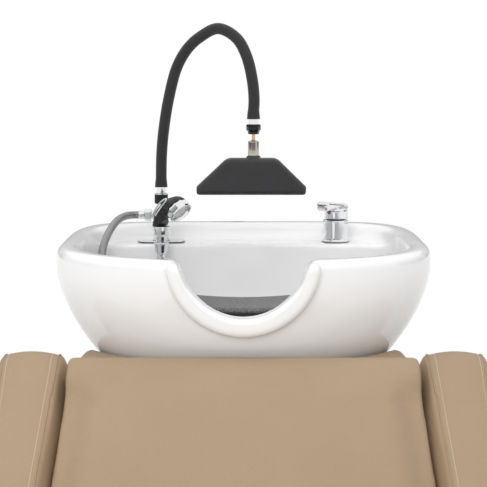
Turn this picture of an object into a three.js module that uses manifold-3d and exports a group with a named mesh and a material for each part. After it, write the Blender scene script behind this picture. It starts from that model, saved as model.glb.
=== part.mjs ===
// Shampoo backwash unit: an upholstered salon chair with a tilting ceramic basin behind it.
//
// Millimetres, +Z up. The client faces -Y and +X is on the right seen from the client's feet.
// The origin is on the floor, straight below the middle of the basin's waste.

import * as THREE from 'three';
import { LoftGeometry } from 'three/addons/geometries/LoftGeometry.js';
import { mergeVertices } from 'three/addons/utils/BufferGeometryUtils.js';
import Module from 'manifold-3d';

const wasm = await Module();
wasm.setup();

// ---------------------------------------------------------------- driving dimensions

const GAP = 0.3;                 // between two pieces that rest on each other

// basin
const BASIN_HALF_WIDTH = 320;
const BASIN_CENTRE_Y = -50;      // widest place of the rim
const BASIN_FRONT = 225;         // from the widest place to the front of the rim
const BASIN_BACK = 340;          // and to the back of the rim
const FRONT_POWER = 2.2;         // superellipse powers of the two halves of the outline
const BACK_POWER = 4.8;
const BASIN_BOTTOM_Z = 700;
const BASIN_WIDEST_Z = 934;
const RIM_TOP_Z = 966.5;
const DECK_Z = 937;              // ledge that carries the taps
const BOWL_INSET = 38;           // width of the rolled rim
const BOWL_BACK_Y = 150;         // front edge of the tap ledge
const BOWL_FLOOR_Z = 718;
const SHELL = 14;                // thickness of the ceramic
const NECK_LOW_Z = 874;          // lowest point of the neck opening
const LIP_RADIUS = 121.5;        // outline of the raised lip around the neck opening
const LIP_CENTRE_Z = 965.5;
const LIP_FRONT_Y = -277;
const WASTE_RADIUS = 24;

// taps on the ledge
const MIXER_X = 173;
const MIXER_Y = 195;
const COLUMN_X = -154;
const COLUMN_Y = 190;
const SHOWER_X = -151;
const SHOWER_Y = 128;

// waterfall arch
const ARCH_RADIUS = 10.2;
const HEAD_X = 18;
const HEAD_Y = 100;
const HEAD_BALL_Z = 1152;

// tilt of the basin
const PIVOT_Y = -130;
const PIVOT_Z = 672;
const LOCK_Y = -45;
const LOCK_Z = 648;

// chair
const ARM_OUTER_X = 400;
const CUSHION_HALF_WIDTH = 279;
const SEAT_BOARD_Z = 372;
const PLINTH_TOP_Z = 70;

// pedestal housing
const HOUSING_HALF_WIDTH = 268;
const HOUSING_BACK_Y = 205;
const HOUSING_FRONT_Y = -205;
const COLLAR_THICKNESS = 34;
const DOOR_HALF_WIDTH = 150;

// ---------------------------------------------------------------- materials

function finish(color, roughness, metalness) {
  return new THREE.MeshStandardMaterial({ color, roughness, metalness });
}

const MATERIALS = {
  ceramic: finish(0xf2f2f2, 0.08, 0.0),
  leather: finish(0xb69e84, 0.5, 0.0),
  chrome: finish(0xd8dadc, 0.08, 1.0),
  steel: finish(0x7d8084, 0.45, 0.9),
  darkSteel: finish(0x2b2c2e, 0.5, 0.5),
  brass: finish(0xb08d57, 0.25, 1.0),
  nickel: finish(0xb9b4a8, 0.2, 1.0),
  braid: finish(0x9a9c9e, 0.4, 0.9),
  charcoal: finish(0x3d3d3d, 0.6, 0.0),
  foamHose: finish(0x2c2c2d, 0.85, 0.0),
  foamPad: finish(0x7c7c7a, 0.95, 0.0),
  blackPlastic: finish(0x202021, 0.35, 0.0),
  greyPlastic: finish(0xb9bbbc, 0.5, 0.0),
  whitePlastic: finish(0xe8e8e6, 0.45, 0.0),
  plywood: finish(0xc9a877, 0.7, 0.0),
};

// ---------------------------------------------------------------- helpers

const unit = new THREE.Group();

function add(name, geometry, material, parent = unit) {
  const mesh = new THREE.Mesh(geometry, MATERIALS[material]);
  mesh.name = name;
  parent.add(mesh);
  return mesh;
}

// A closed geometry as a solid that can be joined and cut.
function solid(geometry) {
  const bare = geometry.index ? geometry.toNonIndexed() : geometry.clone();
  for (const key of Object.keys(bare.attributes)) {
    if (key !== 'position') bare.deleteAttribute(key);
  }
  const merged = mergeVertices(bare, 1e-3);
  const triVerts = new Uint32Array(merged.index.array);
  const vertProperties = new Float32Array(merged.attributes.position.array);
  return new wasm.Manifold(new wasm.Mesh({ numProp: 3, vertProperties, triVerts }));
}

function surface(body) {
  const mesh = body.getMesh();
  const geometry = new THREE.BufferGeometry();
  geometry.setAttribute('position', new THREE.BufferAttribute(new Float32Array(mesh.vertProperties), 3));
  geometry.setIndex(new THREE.BufferAttribute(new Uint32Array(mesh.triVerts), 1));
  geometry.computeVertexNormals();
  return geometry;
}

const join = (...shapes) => surface(shapes.map(solid).reduce((a, b) => a.add(b)));

function cut(shape, ...tools) {
  return surface(tools.map(solid).reduce((body, tool) => body.subtract(tool), solid(shape)));
}

// A box between two corners.
function block(x0, x1, y0, y1, z0, z1) {
  const geometry = new THREE.BoxGeometry(x1 - x0, y1 - y0, z1 - z0);
  return geometry.translate((x0 + x1) / 2, (y0 + y1) / 2, (z0 + z1) / 2);
}

// A turned piece standing on Z: the profile lists [radius, height] from the bottom upwards.
function turned(profile, x = 0, y = 0, z = 0, sides = 14) {
  const points = profile.map(([r, h]) => new THREE.Vector2(r, h));
  const geometry = new THREE.LatheGeometry(points, sides);
  return geometry.rotateX(Math.PI / 2).translate(x, y, z);
}

// A plain rod or disc on Z.
const rod = (r, x, y, z0, z1, sides = 14) => turned([[0, z0], [r, z0], [r, z1], [0, z1]], x, y, 0, sides);

// A ring on Z: outside radius, bore radius.
function ring(r, bore, x, y, z0, z1, sides = 14) {
  return turned([[bore, z0], [r, z0], [r, z1], [bore, z1], [bore, z0]], x, y, 0, sides);
}

// A hexagonal nut that clears a shaft.
const nut = (r, shaft, x, y, z0, z1) => ring(r, (shaft + 0.4) / Math.cos(Math.PI / 6), x, y, z0, z1, 6);

// Turn a piece made on Z about the origin so that it lies on X.
const lay = (geometry) => geometry.rotateY(Math.PI / 2);

// Round bar along a smooth curve through the points.
function bar(points, radius, steps, sides = 8) {
  const stops = points.map((p) => new THREE.Vector3(...p));
  const curve = new THREE.CatmullRomCurve3(stops, false, 'centripetal');
  const circle = new THREE.Shape();
  for (let i = 0; i < sides; i += 1) {
    const angle = (2 * Math.PI * i) / sides;
    const x = radius * Math.cos(angle);
    const y = radius * Math.sin(angle);
    if (i === 0) circle.moveTo(x, y);
    else circle.lineTo(x, y);
  }
  circle.closePath();
  return new THREE.ExtrudeGeometry(circle, { steps, extrudePath: curve, bevelEnabled: false });
}

const outline = (points) => new THREE.Shape(points.map(([a, b]) => new THREE.Vector2(a, b)));

// Plates cut from a flat outline: on XY standing along Z, on XZ along Y, on YZ along X.
function plateXY(shape, z0, z1, curveSegments = 8) {
  const geometry = new THREE.ExtrudeGeometry(shape, { depth: z1 - z0, bevelEnabled: false, curveSegments });
  return geometry.translate(0, 0, z0);
}

function plateXZ(shape, y0, y1, curveSegments = 8) {
  const geometry = new THREE.ExtrudeGeometry(shape, { depth: y1 - y0, bevelEnabled: false, curveSegments });
  return geometry.rotateX(Math.PI / 2).translate(0, y1, 0);
}

function plateYZ(shape, x0, x1, curveSegments = 8) {
  const geometry = new THREE.ExtrudeGeometry(shape, { depth: x1 - x0, bevelEnabled: false, curveSegments });
  const basis = new THREE.Matrix4().makeBasis(
    new THREE.Vector3(0, 1, 0),
    new THREE.Vector3(0, 0, 1),
    new THREE.Vector3(1, 0, 0),
  );
  return geometry.applyMatrix4(basis).translate(x0, 0, 0);
}

function roundedRectangle(x0, x1, y0, y1, r) {
  const shape = new THREE.Shape();
  shape.moveTo(x0 + r, y0);
  shape.lineTo(x1 - r, y0);
  shape.absarc(x1 - r, y0 + r, r, -Math.PI / 2, 0);
  shape.lineTo(x1, y1 - r);
  shape.absarc(x1 - r, y1 - r, r, 0, Math.PI / 2);
  shape.lineTo(x0 + r, y1);
  shape.absarc(x0 + r, y1 - r, r, Math.PI / 2, Math.PI);
  shape.lineTo(x0, y0 + r);
  shape.absarc(x0 + r, y0 + r, r, Math.PI, 1.5 * Math.PI);
  return shape;
}

function circlePath(x, y, r) {
  const path = new THREE.Path();
  path.absarc(x, y, r, 0, 2 * Math.PI, true);
  return path;
}

const smooth = (t) => {
  const k = Math.min(Math.max(t, 0), 1);
  return k * k * (3 - 2 * k);
};

// ---------------------------------------------------------------- basin surfaces

// Closed outline made of two superellipse halves that meet at the widest place.
function basinSection(z, halfWidth, front, back, centreY, backPower = BACK_POWER, count = 36) {
  const section = [];
  for (let i = 0; i < count; i += 1) {
    const angle = (2 * Math.PI * i) / count;
    const c = Math.cos(angle);
    const s = Math.sin(angle);
    const power = s < 0 ? FRONT_POWER : backPower;
    const depth = s < 0 ? front : back;
    const x = halfWidth * Math.sign(c) * Math.abs(c) ** (2 / power);
    const y = centreY + depth * Math.sign(s) * Math.abs(s) ** (2 / power);
    section.push(new THREE.Vector3(x, y, z));
  }
  return section;
}

// How much narrower the outside is at height z than at its widest.
const outsideScale = (z) => (z >= BASIN_WIDEST_Z ? 1 : 1 - 3.04e-5 * (BASIN_WIDEST_Z - z) ** 1.769);

// The lower part of the basin is set back, towards the waste.
const sectionCentreY = (z) => BASIN_CENTRE_Y + 45 * smooth((770 - z) / 65);

function outsideBody(offset = 0) {
  const levels = [
    [BASIN_BOTTOM_Z, 0.5], [704, 0.54], [715, outsideScale(715)], [740, outsideScale(740)],
    [770, outsideScale(770)], [805, outsideScale(805)], [850, outsideScale(850)],
    [895, outsideScale(895)], [BASIN_WIDEST_Z, 1], [952, 1.004], [961, 0.992], [RIM_TOP_Z, 0.965],
  ];
  const sections = levels.map(([z, scale]) => {
    const low = Math.max(770 - z, 0) / (770 - BASIN_BOTTOM_Z);
    const high = Math.max(z - BASIN_WIDEST_Z, 0) / (RIM_TOP_Z - BASIN_WIDEST_Z);
    return basinSection(
      z + offset * (high - low),
      BASIN_HALF_WIDTH * scale + offset,
      BASIN_FRONT * scale + offset,
      BASIN_BACK * scale + offset,
      sectionCentreY(z),
    );
  });
  return new LoftGeometry(sections, { closed: true, capStart: true, capEnd: true });
}

function bowlBody(offset = 0) {
  const levels = [
    [BOWL_FLOOR_Z, 0.2], [722, 0.3], [731, 0.47], [746, 0.64], [766, 0.76], [792, 0.85],
    [822, 0.905], [862, 0.955], [905, 0.985], [DECK_Z, 1], [975, 1.005],
  ];
  const halfWidth = BASIN_HALF_WIDTH - BOWL_INSET;
  const front = BASIN_FRONT - BOWL_INSET;
  const back = BOWL_BACK_Y - BASIN_CENTRE_Y;
  const sections = levels.map(([z, scale], i) => basinSection(
    z - (i === 0 ? offset : 0),
    halfWidth * scale + offset,
    front * scale + offset,
    back * scale + offset,
    sectionCentreY(z),
    7,
  ));
  return new LoftGeometry(sections, { closed: true, capStart: true, capEnd: true });
}

// The recess above the tap ledge.
function ledgeRecess() {
  const halfWidth = BASIN_HALF_WIDTH - BOWL_INSET;
  const sections = [[DECK_Z, 0], [948, 6], [985, 10]].map(([z, grow]) => basinSection(
    z,
    halfWidth + grow - 8,
    BASIN_FRONT - BOWL_INSET - 4,
    286 + grow,
    BASIN_CENTRE_Y,
  ));
  return new LoftGeometry(sections, { closed: true, capStart: true, capEnd: true });
}

// Height of the neck opening's edge at a distance x from the middle.
const neckHeight = (x) => NECK_LOW_Z + 0.0061 * x ** 2 + 1.25e-7 * x ** 4;

function neckOpening() {
  const points = [];
  const halfWidth = 108;
  const steps = 14;
  for (let i = 0; i <= steps; i += 1) {
    const x = -halfWidth + (2 * halfWidth * i) / steps;
    points.push([x, neckHeight(x)]);
  }
  points.push([122, 990], [-122, 990]);
  return plateXZ(outline(points), -320, -205);
}

function neckLip() {
  const dip = Math.asin(6 / LIP_RADIUS);
  const shape = new THREE.Shape();
  shape.absarc(0, LIP_CENTRE_Z, LIP_RADIUS, Math.PI + dip, 2 * Math.PI - dip);
  return plateXZ(shape, LIP_FRONT_Y, -225, 18);
}

// Service hollow below the tap ledge, open at the lower back.
function serviceHollow() {
  const reach = solid(block(-215, 215, 95, 300, 600, DECK_Z - SHELL));
  const skin = solid(outsideBody(-SHELL));
  const opening = solid(block(-215, 215, 95, 300, 600, 790));
  return reach.intersect(skin.add(opening)).subtract(solid(bowlBody(SHELL)));
}

function makeBasin() {
  const holes = [
    rod(WASTE_RADIUS, 0, 0, BASIN_BOTTOM_Z - 20, BOWL_FLOOR_Z + 20),
    rod(17.5, MIXER_X, MIXER_Y, 900, DECK_Z + 5),
    rod(12, COLUMN_X, COLUMN_Y, 900, DECK_Z + 5),
  ];
  const body = solid(outsideBody())
    .add(solid(neckLip()))
    .subtract(solid(bowlBody()))
    .subtract(solid(ledgeRecess()))
    .subtract(solid(neckOpening()))
    .subtract(serviceHollow());
  const drilled = holes.reduce((piece, hole) => piece.subtract(solid(hole)), body);
  add('basin', surface(drilled), 'ceramic');
}

// ---------------------------------------------------------------- floor frame and pedestal

function makeBase() {
  const plate = block(-230, 230, -190, 190, 0, 8);
  add('floor_plate', plate, 'darkSteel');

  const rail = (x) => block(x - 20, x + 20, -960, 170, 8 + GAP, 48);
  const cross = (y) => block(-180, 180, y - 20, y + 20, 8 + GAP, 48);
  const column = block(-40, 40, -160, -100, 8 + GAP, 630);
  const hollow = block(-36, 36, -156, -104, 60, 640);
  const frame = [rail(-190), rail(190), cross(-900), cross(-520), cross(-130), column]
    .map(solid)
    .reduce((a, b) => a.add(b))
    .subtract(solid(hollow));
  add('base_frame', surface(frame), 'darkSteel');

  const skirt = outline([
    [-385, -170], [-385, -1000], [385, -1000], [385, -170],
    [370, -170], [370, -985], [-370, -985], [-370, -170],
  ]);
  const glide = [[0, 0], [19, 0], [19, 10], [8, 11], [8, 20], [0, 20]];
  const corners = [[-377, -975], [377, -975], [-377, -190], [377, -190]];
  const glides = corners.map(([x, y]) => turned(glide, x, y, 0, 10));
  add('plinth', join(plateXY(skirt, 14, PLINTH_TOP_Z - GAP), ...glides), 'blackPlastic');
}

// ---------------------------------------------------------------- chair

function makeChair() {
  const post = (x, y) => block(x - 15, x + 15, y - 15, y + 15, 48 + GAP, 350);
  const carrier = block(-260, 260, -960, -480, 344, SEAT_BOARD_Z - GAP);
  const window = block(-225, 225, -880, -540, 330, 390);
  const seatFrame = [post(-190, -900), post(190, -900), post(-190, -520), post(190, -520)]
    .map(solid)
    .reduce((a, b) => a.add(b), solid(carrier).subtract(solid(window)));
  add('seat_frame', surface(seatFrame), 'darkSteel');

  add('seat_board', block(-283, 283, -1010, -480, SEAT_BOARD_Z, SEAT_BOARD_Z + 16), 'plywood');

  const backBoard = outline([
    [-462, SEAT_BOARD_Z + 20], [-400, 480], [-345, 580], [-272, 660], [-262, 760],
    [-274, 762], [-286, 667], [-357, 590], [-413, 487], [-478, SEAT_BOARD_Z + 20],
  ]);
  add('backrest_board', plateYZ(backBoard, -272, 272), 'plywood');

  add('front_panel', block(-286, 286, -988, -972, PLINTH_TOP_Z, SEAT_BOARD_Z - GAP), 'leather');

  makeSeatCushion();
  makeBackrestCushion();
  makeArm('arm_left', -1);
  makeArm('arm_right', 1);
}

function makeSeatCushion() {
  const bottom = SEAT_BOARD_Z + 16 + GAP;
  const side = new THREE.Shape();
  side.moveTo(-1000, bottom);
  side.lineTo(-1040, bottom + 22);
  side.quadraticCurveTo(-1062, bottom + 60, -1040, bottom + 84);
  side.quadraticCurveTo(-1020, bottom + 96, -960, bottom + 96);
  side.lineTo(-620, bottom + 84);
  side.quadraticCurveTo(-580, bottom + 80, -560, bottom + 60);
  side.lineTo(-540, bottom);
  add('seat_cushion', plateYZ(side, -CUSHION_HALF_WIDTH - 8, CUSHION_HALF_WIDTH + 8, 4), 'leather');
}

// Half width of the backrest: it opens out a little towards the seat.
const backrestHalfWidth = (y) => CUSHION_HALF_WIDTH + 12 * smooth((-268 - y) / 200);

function makeBackrestCushion() {
  const side = new THREE.Shape();
  side.moveTo(-276, 762);
  side.lineTo(-253, 785);
  side.quadraticCurveTo(-253, 808, -274, 809);
  side.quadraticCurveTo(-288, 808, -310, 787);
  side.lineTo(-450, 653);
  side.quadraticCurveTo(-530, 575, -570, 486);
  side.lineTo(-532, 452);
  side.lineTo(-484, 424);
  side.lineTo(-418, 491);
  side.lineTo(-361, 595);
  side.lineTo(-290, 672);
  const geometry = plateYZ(side, -1, 1, 5);
  const position = geometry.attributes.position;
  for (let i = 0; i < position.count; i += 1) {
    position.setX(i, position.getX(i) * backrestHalfWidth(position.getY(i)));
  }
  add('backrest_cushion', geometry, 'leather');
}

// Padded side panel: its top edge follows the backrest down to the armrest.
function makeArm(name, sign) {
  const side = new THREE.Shape();
  side.moveTo(-160, PLINTH_TOP_Z);
  side.lineTo(-160, 768);
  side.quadraticCurveTo(-164, 802, -205, 808);
  side.quadraticCurveTo(-240, 812, -262, 796);
  side.lineTo(-440, 656);
  side.quadraticCurveTo(-480, 626, -540, 622);
  side.lineTo(-900, 610);
  side.quadraticCurveTo(-985, 604, -992, 530);
  side.lineTo(-978, PLINTH_TOP_Z);
  const geometry = plateYZ(side, 0, 1, 5);
  const position = geometry.attributes.position;
  for (let i = 0; i < position.count; i += 1) {
    const y = position.getY(i);
    const inner = backrestHalfWidth(y) + 3 + 7 * smooth((-480 - y) / 120);
    const across = inner + (ARM_OUTER_X - inner) * position.getX(i);
    position.setX(i, sign * across);
  }
  if (sign < 0) flip(geometry);
  add(name, geometry, 'leather');
}

// Turn every triangle over, after a mirror.
function flip(geometry) {
  const position = geometry.attributes.position;
  for (let i = 0; i < position.count; i += 3) {
    const a = new THREE.Vector3().fromBufferAttribute(position, i);
    const b = new THREE.Vector3().fromBufferAttribute(position, i + 1);
    position.setXYZ(i, b.x, b.y, b.z);
    position.setXYZ(i + 1, a.x, a.y, a.z);
  }
}

// ---------------------------------------------------------------- housing behind the chair

// Height of the collar's top along Y: high behind the backrest, low under the back of the basin.
const collarTop = (y) => 797 - 75 * smooth((y + 128) / 118);

function collarBand(top, bottom) {
  const upper = [];
  const lower = [];
  for (let y = -248; y <= HOUSING_BACK_Y; y += 12) {
    upper.push([y, collarTop(y) + top]);
    lower.push([y, collarTop(y) + bottom]);
  }
  upper.push([HOUSING_BACK_Y, collarTop(HOUSING_BACK_Y) + top]);
  lower.push([HOUSING_BACK_Y, collarTop(HOUSING_BACK_Y) + bottom]);
  return outline([...lower, ...upper.reverse()]);
}

// Space that the basin sweeps as it tilts.
function basinSweep() {
  let sweep = null;
  for (const degrees of [-6, 0, 3]) {
    const body = outsideBody(9);
    body.translate(0, -PIVOT_Y, -PIVOT_Z);
    body.rotateX(THREE.MathUtils.degToRad(degrees));
    body.translate(0, PIVOT_Y, PIVOT_Z);
    sweep = sweep ? sweep.add(solid(body)) : solid(body);
  }
  return sweep;
}

function makeHousing() {
  const plan = new THREE.Shape();
  const w = HOUSING_HALF_WIDTH;
  plan.moveTo(-w - 11, -248);
  plan.lineTo(w + 11, -248);
  plan.lineTo(w, -100);
  plan.lineTo(w, HOUSING_BACK_Y - 60);
  plan.absarc(w - 60, HOUSING_BACK_Y - 60, 60, 0, Math.PI / 2);
  plan.absarc(-w + 60, HOUSING_BACK_Y - 60, 60, Math.PI / 2, Math.PI);
  plan.lineTo(-w, -100);

  const band = plateYZ(collarBand(0, -COLLAR_THICKNESS), -300, 300);
  const middle = plateXY(roundedRectangle(-w + 46, w - 46, -190, HOUSING_BACK_Y - 36, 50), 600, 900, 4);
  const collar = solid(band)
    .intersect(solid(plateXY(plan, 600, 900, 6)))
    .subtract(solid(middle))
    .subtract(basinSweep());
  add('collar', surface(collar), 'leather');

  const outer = roundedRectangle(-w + 4, w - 4, HOUSING_FRONT_Y, HOUSING_BACK_Y - 4, 56);
  const inner = roundedRectangle(-w + 16, w - 16, HOUSING_FRONT_Y + 12, HOUSING_BACK_Y - 16, 44);
  const below = plateYZ(collarBand(-COLLAR_THICKNESS - GAP, -900), -300, 300);
  const doorway = block(-DOOR_HALF_WIDTH, DOOR_HALF_WIDTH, 180, 220, 100, 560);
  const frontWindow = block(-222, 222, -240, -185, -10, 900);
  const lockHole = rod(9, 0, 0, 200, 300, 16).rotateY(Math.PI / 2).translate(0, LOCK_Y, LOCK_Z);
  const shell = solid(plateXY(outer, 12, 900, 6))
    .subtract(solid(plateXY(inner, 0, 910, 6)))
    .intersect(solid(below))
    .subtract(solid(doorway))
    .subtract(solid(frontWindow))
    .subtract(solid(lockHole));
  add('housing', surface(shell), 'leather');

  makeServiceDoor();
}

function makeServiceDoor() {
  const hingeX = -DOOR_HALF_WIDTH;
  const hingeY = HOUSING_BACK_Y + 1.5;
  const door = roundedRectangle(-DOOR_HALF_WIDTH + 2, DOOR_HALF_WIDTH - 2, 102, 558, 3);
  const web = block(hingeX + 2, hingeX + 14, 196, hingeY + 1, 160, 500);
  const panel = join(plateXZ(door, 191, 201, 2), rod(5, hingeX, hingeY, 160, 500, 12), web);
  const bore = rod(2.6, hingeX, hingeY, 150, 510, 12);
  const latchHole = rod(8, 0, 0, -20, 20, 16).rotateX(Math.PI / 2).translate(120, 196, 330);
  add('service_door', cut(panel, bore, latchHole), 'whitePlastic');

  const hinge = [
    rod(2.3, hingeX, hingeY, 150, 510, 12),
    rod(5, hingeX, hingeY, 144, 159.5, 12),
    rod(5, hingeX, hingeY, 500.5, 516, 12),
    block(hingeX - 24, hingeX, 201 + GAP, 204, 144, 159.5),
    block(hingeX - 24, hingeX, 201 + GAP, 204, 500.5, 516),
    block(hingeX - 24, hingeX - 10, 201 + GAP, 204, 144, 516),
  ];
  add('door_hinge', join(...hinge), 'steel');

  const body = turned([[0, -24], [6, -24], [6, 0], [13, 0], [13, 5], [0, 5]], 0, 0, 0, 16);
  const grip = block(-2.5, 2.5, -11, 11, 4, 13);
  const tongue = block(-6, 24, -7, 7, -23, -19);
  const latch = join(body, grip, tongue);
  latch.rotateX(-Math.PI / 2).translate(120, 201 + GAP, 330);
  add('door_latch', latch, 'blackPlastic');
}

// ---------------------------------------------------------------- tilt mechanism

function makeTilt() {
  const earShape = outline([[-160, 636], [-100, 636], [-112, 684], [-122, 690], [-138, 690], [-148, 684]]);
  const lockEar = outline([[-150, 632], [-30, 632], [-30, 660], [-60, 660], [-110, 645], [-150, 645]]);
  const pieces = [
    block(-54, 92, -162, -98, 630 + GAP, 640),
    plateYZ(earShape, -54, -46),
    plateYZ(earShape, 46, 54),
    plateYZ(lockEar, 86, 92),
    lay(rod(11, 0, 0, 76, 90, 16)).translate(0, LOCK_Y, LOCK_Z),
  ];
  const bores = [
    lay(rod(8.3, 0, 0, -80, 80)).translate(0, PIVOT_Y, PIVOT_Z),
    lay(rod(5.6, 0, 0, 60, 120, 16)).translate(0, LOCK_Y, LOCK_Z),
  ];
  add('tilt_yoke', cut(join(...pieces), ...bores), 'steel');

  const axle = turned([[0, -74], [13, -74], [13, -66], [8, -66], [8, 66], [13, 66], [13, 74], [0, 74]]);
  add('tilt_axle', lay(axle).translate(0, PIVOT_Y, PIVOT_Z), 'chrome');

  makeCradle();
  makeTiltLock();
}

function makeCradle() {
  const plate = roundedRectangle(-140, 140, -150, 90, 20);
  plate.holes.push(circlePath(0, 0, 40));
  const lugShape = outline([[-158, 696], [-102, 696], [-112, 664], [-122, 657], [-138, 657], [-148, 664]]);
  const bore = lay(rod(8.3, 0, 0, -80, 80)).translate(0, PIVOT_Y, PIVOT_Z);
  const tongue = outline([[-84, 696], [-20, 696], [-26, 634], [-64, 634]]);
  const slot = new THREE.Shape();
  const reach = Math.hypot(LOCK_Y - PIVOT_Y, LOCK_Z - PIVOT_Z);
  const angle = Math.atan2(LOCK_Z - PIVOT_Z, LOCK_Y - PIVOT_Y);
  const start = angle - THREE.MathUtils.degToRad(8);
  const end = angle + THREE.MathUtils.degToRad(11);
  slot.absarc(PIVOT_Y, PIVOT_Z, reach + 6, start, end, false);
  slot.absarc(PIVOT_Y, PIVOT_Z, reach - 6, end, start, true);
  const cradle = [
    plateXY(plate, BASIN_BOTTOM_Z - 6, BASIN_BOTTOM_Z - GAP, 6),
    plateYZ(lugShape, -62, -56),
    plateYZ(lugShape, 56, 62),
    plateYZ(tongue, 100, 106),
  ].map(solid).reduce((a, b) => a.add(b));
  const lockSlot = plateYZ(slot, 95, 112);
  add('basin_cradle', surface(cradle.subtract(solid(bore)).subtract(solid(lockSlot))), 'steel');
}

function makeTiltLock() {
  const rodProfile = [[0, 68], [5.2, 68], [5.2, 107], [12, 107], [12, 112], [6, 112], [6, 284], [0, 284]];
  add('lock_rod', lay(turned(rodProfile, 0, 0, 0, 16)).translate(0, LOCK_Y, LOCK_Z), 'chrome');

  const knob = new THREE.Shape();
  const lobes = 5;
  const knobSteps = 40;
  for (let i = 0; i <= knobSteps; i += 1) {
    const angle = (2 * Math.PI * i) / knobSteps;
    const r = 23 + 3.5 * Math.cos(lobes * angle);
    const x = r * Math.cos(angle);
    const y = r * Math.sin(angle);
    if (i === 0) knob.moveTo(x, y);
    else knob.lineTo(x, y);
  }
  const boss = rod(11, 0, 0, 270, 281, 16);
  const handle = cut(join(plateXY(knob, 280, 306), boss), rod(6.3, 0, 0, 265, 285.3, 16));
  add('lock_knob', lay(handle).translate(0, LOCK_Y, LOCK_Z), 'blackPlastic');
}

// ---------------------------------------------------------------- waste and water supply

function makeWaste() {
  const flange = turned([[19.2, 684], [23.3, 684], [23.3, 718.6], [36, 719.6], [36, 721.5],
    [26, 720.6], [21, 716], [19.2, 684]], 0, 0, 0, 18);
  add('waste_flange', flange, 'chrome');

  const cup = turned([[0, 700], [17, 700], [18.3, 717], [20.5, 717.5], [20.5, 720.5], [16.5, 720.5],
    [15, 703], [0, 703]], 0, 0, 0, 20);
  const knob = turned([[0, 702], [3, 702], [3, 716], [6, 718], [5, 722], [0, 723]], 0, 0, 0, 12);
  add('strainer', join(cup, knob), 'chrome');

  add('waste_nut', nut(34, 23.3, 0, 0, 687, BASIN_BOTTOM_Z - GAP), 'blackPlastic');
  const tail = turned([[15.5, 600], [18.7, 600], [18.7, 689.5], [15.5, 689.5], [15.5, 600]], 0, 0, 0, 20);
  add('waste_tail', tail, 'whitePlastic');

  const trapWall = [
    [0, 474], [30, 474], [30, 482], [44, 482], [44, 492], [42, 494], [42, 596], [45, 598],
    [45, 612], [19.2, 612], [19.2, 606], [38, 606], [38, 490], [0, 490],
  ];
  const outletBore = rod(12.6, 0, 0, 30, 60, 16).rotateX(-Math.PI / 2).translate(0, 0, 560);
  const trap = cut(turned(trapWall, 0, 0, 0, 16), outletBore);
  const spout = ring(16, 12.5, 0, 0, 40, 66, 16).rotateX(-Math.PI / 2).translate(0, 0, 560);
  add('hair_trap', join(trap, spout), 'whitePlastic');

  const wastePath = [
    [0, 66.3, 560], [0, 74, 560], [0, 94, 554], [0, 112, 530], [0, 118, 420], [0, 110, 220], [0, 104, 44],
  ];
  add('waste_hose', bar(wastePath, 15.5, 14, 10), 'greyPlastic');
  const socketProfile = [[0, 8 + GAP], [32, 8 + GAP], [32, 14], [20, 16], [20, 40], [0, 40]];
  const socket = turned(socketProfile, 0, 104, 0, 20);
  add('waste_socket', socket, 'whitePlastic');
}

function makeSupply() {
  const lines = [['hot', 80, 0], ['cold', 135, 1]];
  for (const [name, x, index] of lines) {
    const body = rod(11, x, 120, 8 + GAP, 70, 16);
    const stem = lay(rod(7, 0, 0, 0, 18, 12)).translate(x, 120, 45);
    const wheel = lay(rod(15, 0, 0, 16, 25, 12)).translate(x, 120, 45);
    add(`valve_${name}`, join(body, stem, wheel), 'chrome');
    const start = MIXER_X - 8 + 16 * index;
    const path = [
      [start, 195, 895], [start - 4, 190, 840], [start - 10, 162, 768], [start - 14, 150, 600],
      [x + 10, 132, 240], [x, 120, 70.5],
    ];
    add(`supply_hose_${name}`, bar(path, 5, 14, 6), 'braid');
  }
  const mixed = [[MIXER_X, 207, 895], [MIXER_X - 12, 214, 872], [120, 216, 858], [0, 216, 852],
    [-110, 214, 858], [COLUMN_X, 203, 866], [COLUMN_X, COLUMN_Y, 882], [COLUMN_X, COLUMN_Y, 889.5]];
  add('mixed_hose', bar(mixed, 5, 18, 6), 'braid');
}

// ---------------------------------------------------------------- mixer tap

function makeMixer() {
  const bodyProfile = [
    [10, 898], [16, 898], [16, DECK_Z + GAP], [25.4, DECK_Z + GAP], [25.4, 941], [23.5, 943.5],
    [23.5, 978.5], [20, 978.5], [20, 965], [10, 965], [10, 898],
  ];
  add('mixer_body', turned(bodyProfile, MIXER_X, MIXER_Y, 0, 24), 'chrome');
  add('mixer_nut', nut(25, 16, MIXER_X, MIXER_Y, 908, DECK_Z - SHELL - GAP), 'brass');

  const cartridge = turned([[0, 966], [17, 966], [17, 988], [0, 988]], MIXER_X, MIXER_Y, 0, 20);
  add('mixer_cartridge', cartridge, 'whitePlastic');

  // Lever, made on its own axis with the handle along -Y, then turned half way towards -X.
  const domeProfile = [[0, 981], [21.8, 981], [21.8, 990], [20, 998], [13, 1002.5], [0, 1003]];
  const dome = turned(domeProfile, 0, 0, 0, 24);
  const hood = cut(rod(23.5, 0, 0, 981, 1006, 24), block(-30, 30, -30, 6, 970, 1010));
  const room = turned([[0, 970], [19.8, 970], [19.8, 990], [0, 994]], 0, 0, 0, 20);
  const handleSide = new THREE.Shape();
  handleSide.moveTo(0, 1001);
  handleSide.lineTo(-16, 1001);
  handleSide.lineTo(-37, 996.5);
  handleSide.quadraticCurveTo(-43, 998, -42.5, 1008);
  handleSide.quadraticCurveTo(-42, 1014, -34, 1014.5);
  handleSide.lineTo(16, 1008);
  handleSide.lineTo(20, 1003);
  const handle = plateYZ(handleSide, -15, 15, 5);
  const lever = cut(join(dome, hood, handle), room);
  lever.rotateZ(THREE.MathUtils.degToRad(-43)).translate(MIXER_X, MIXER_Y, 0);
  add('mixer_lever', lever, 'chrome');
}

// ---------------------------------------------------------------- diverter column and hand shower

// Height of the diverter's side outlet, its hose nut and its knob.
const OUTLET_Z = 988;

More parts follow.
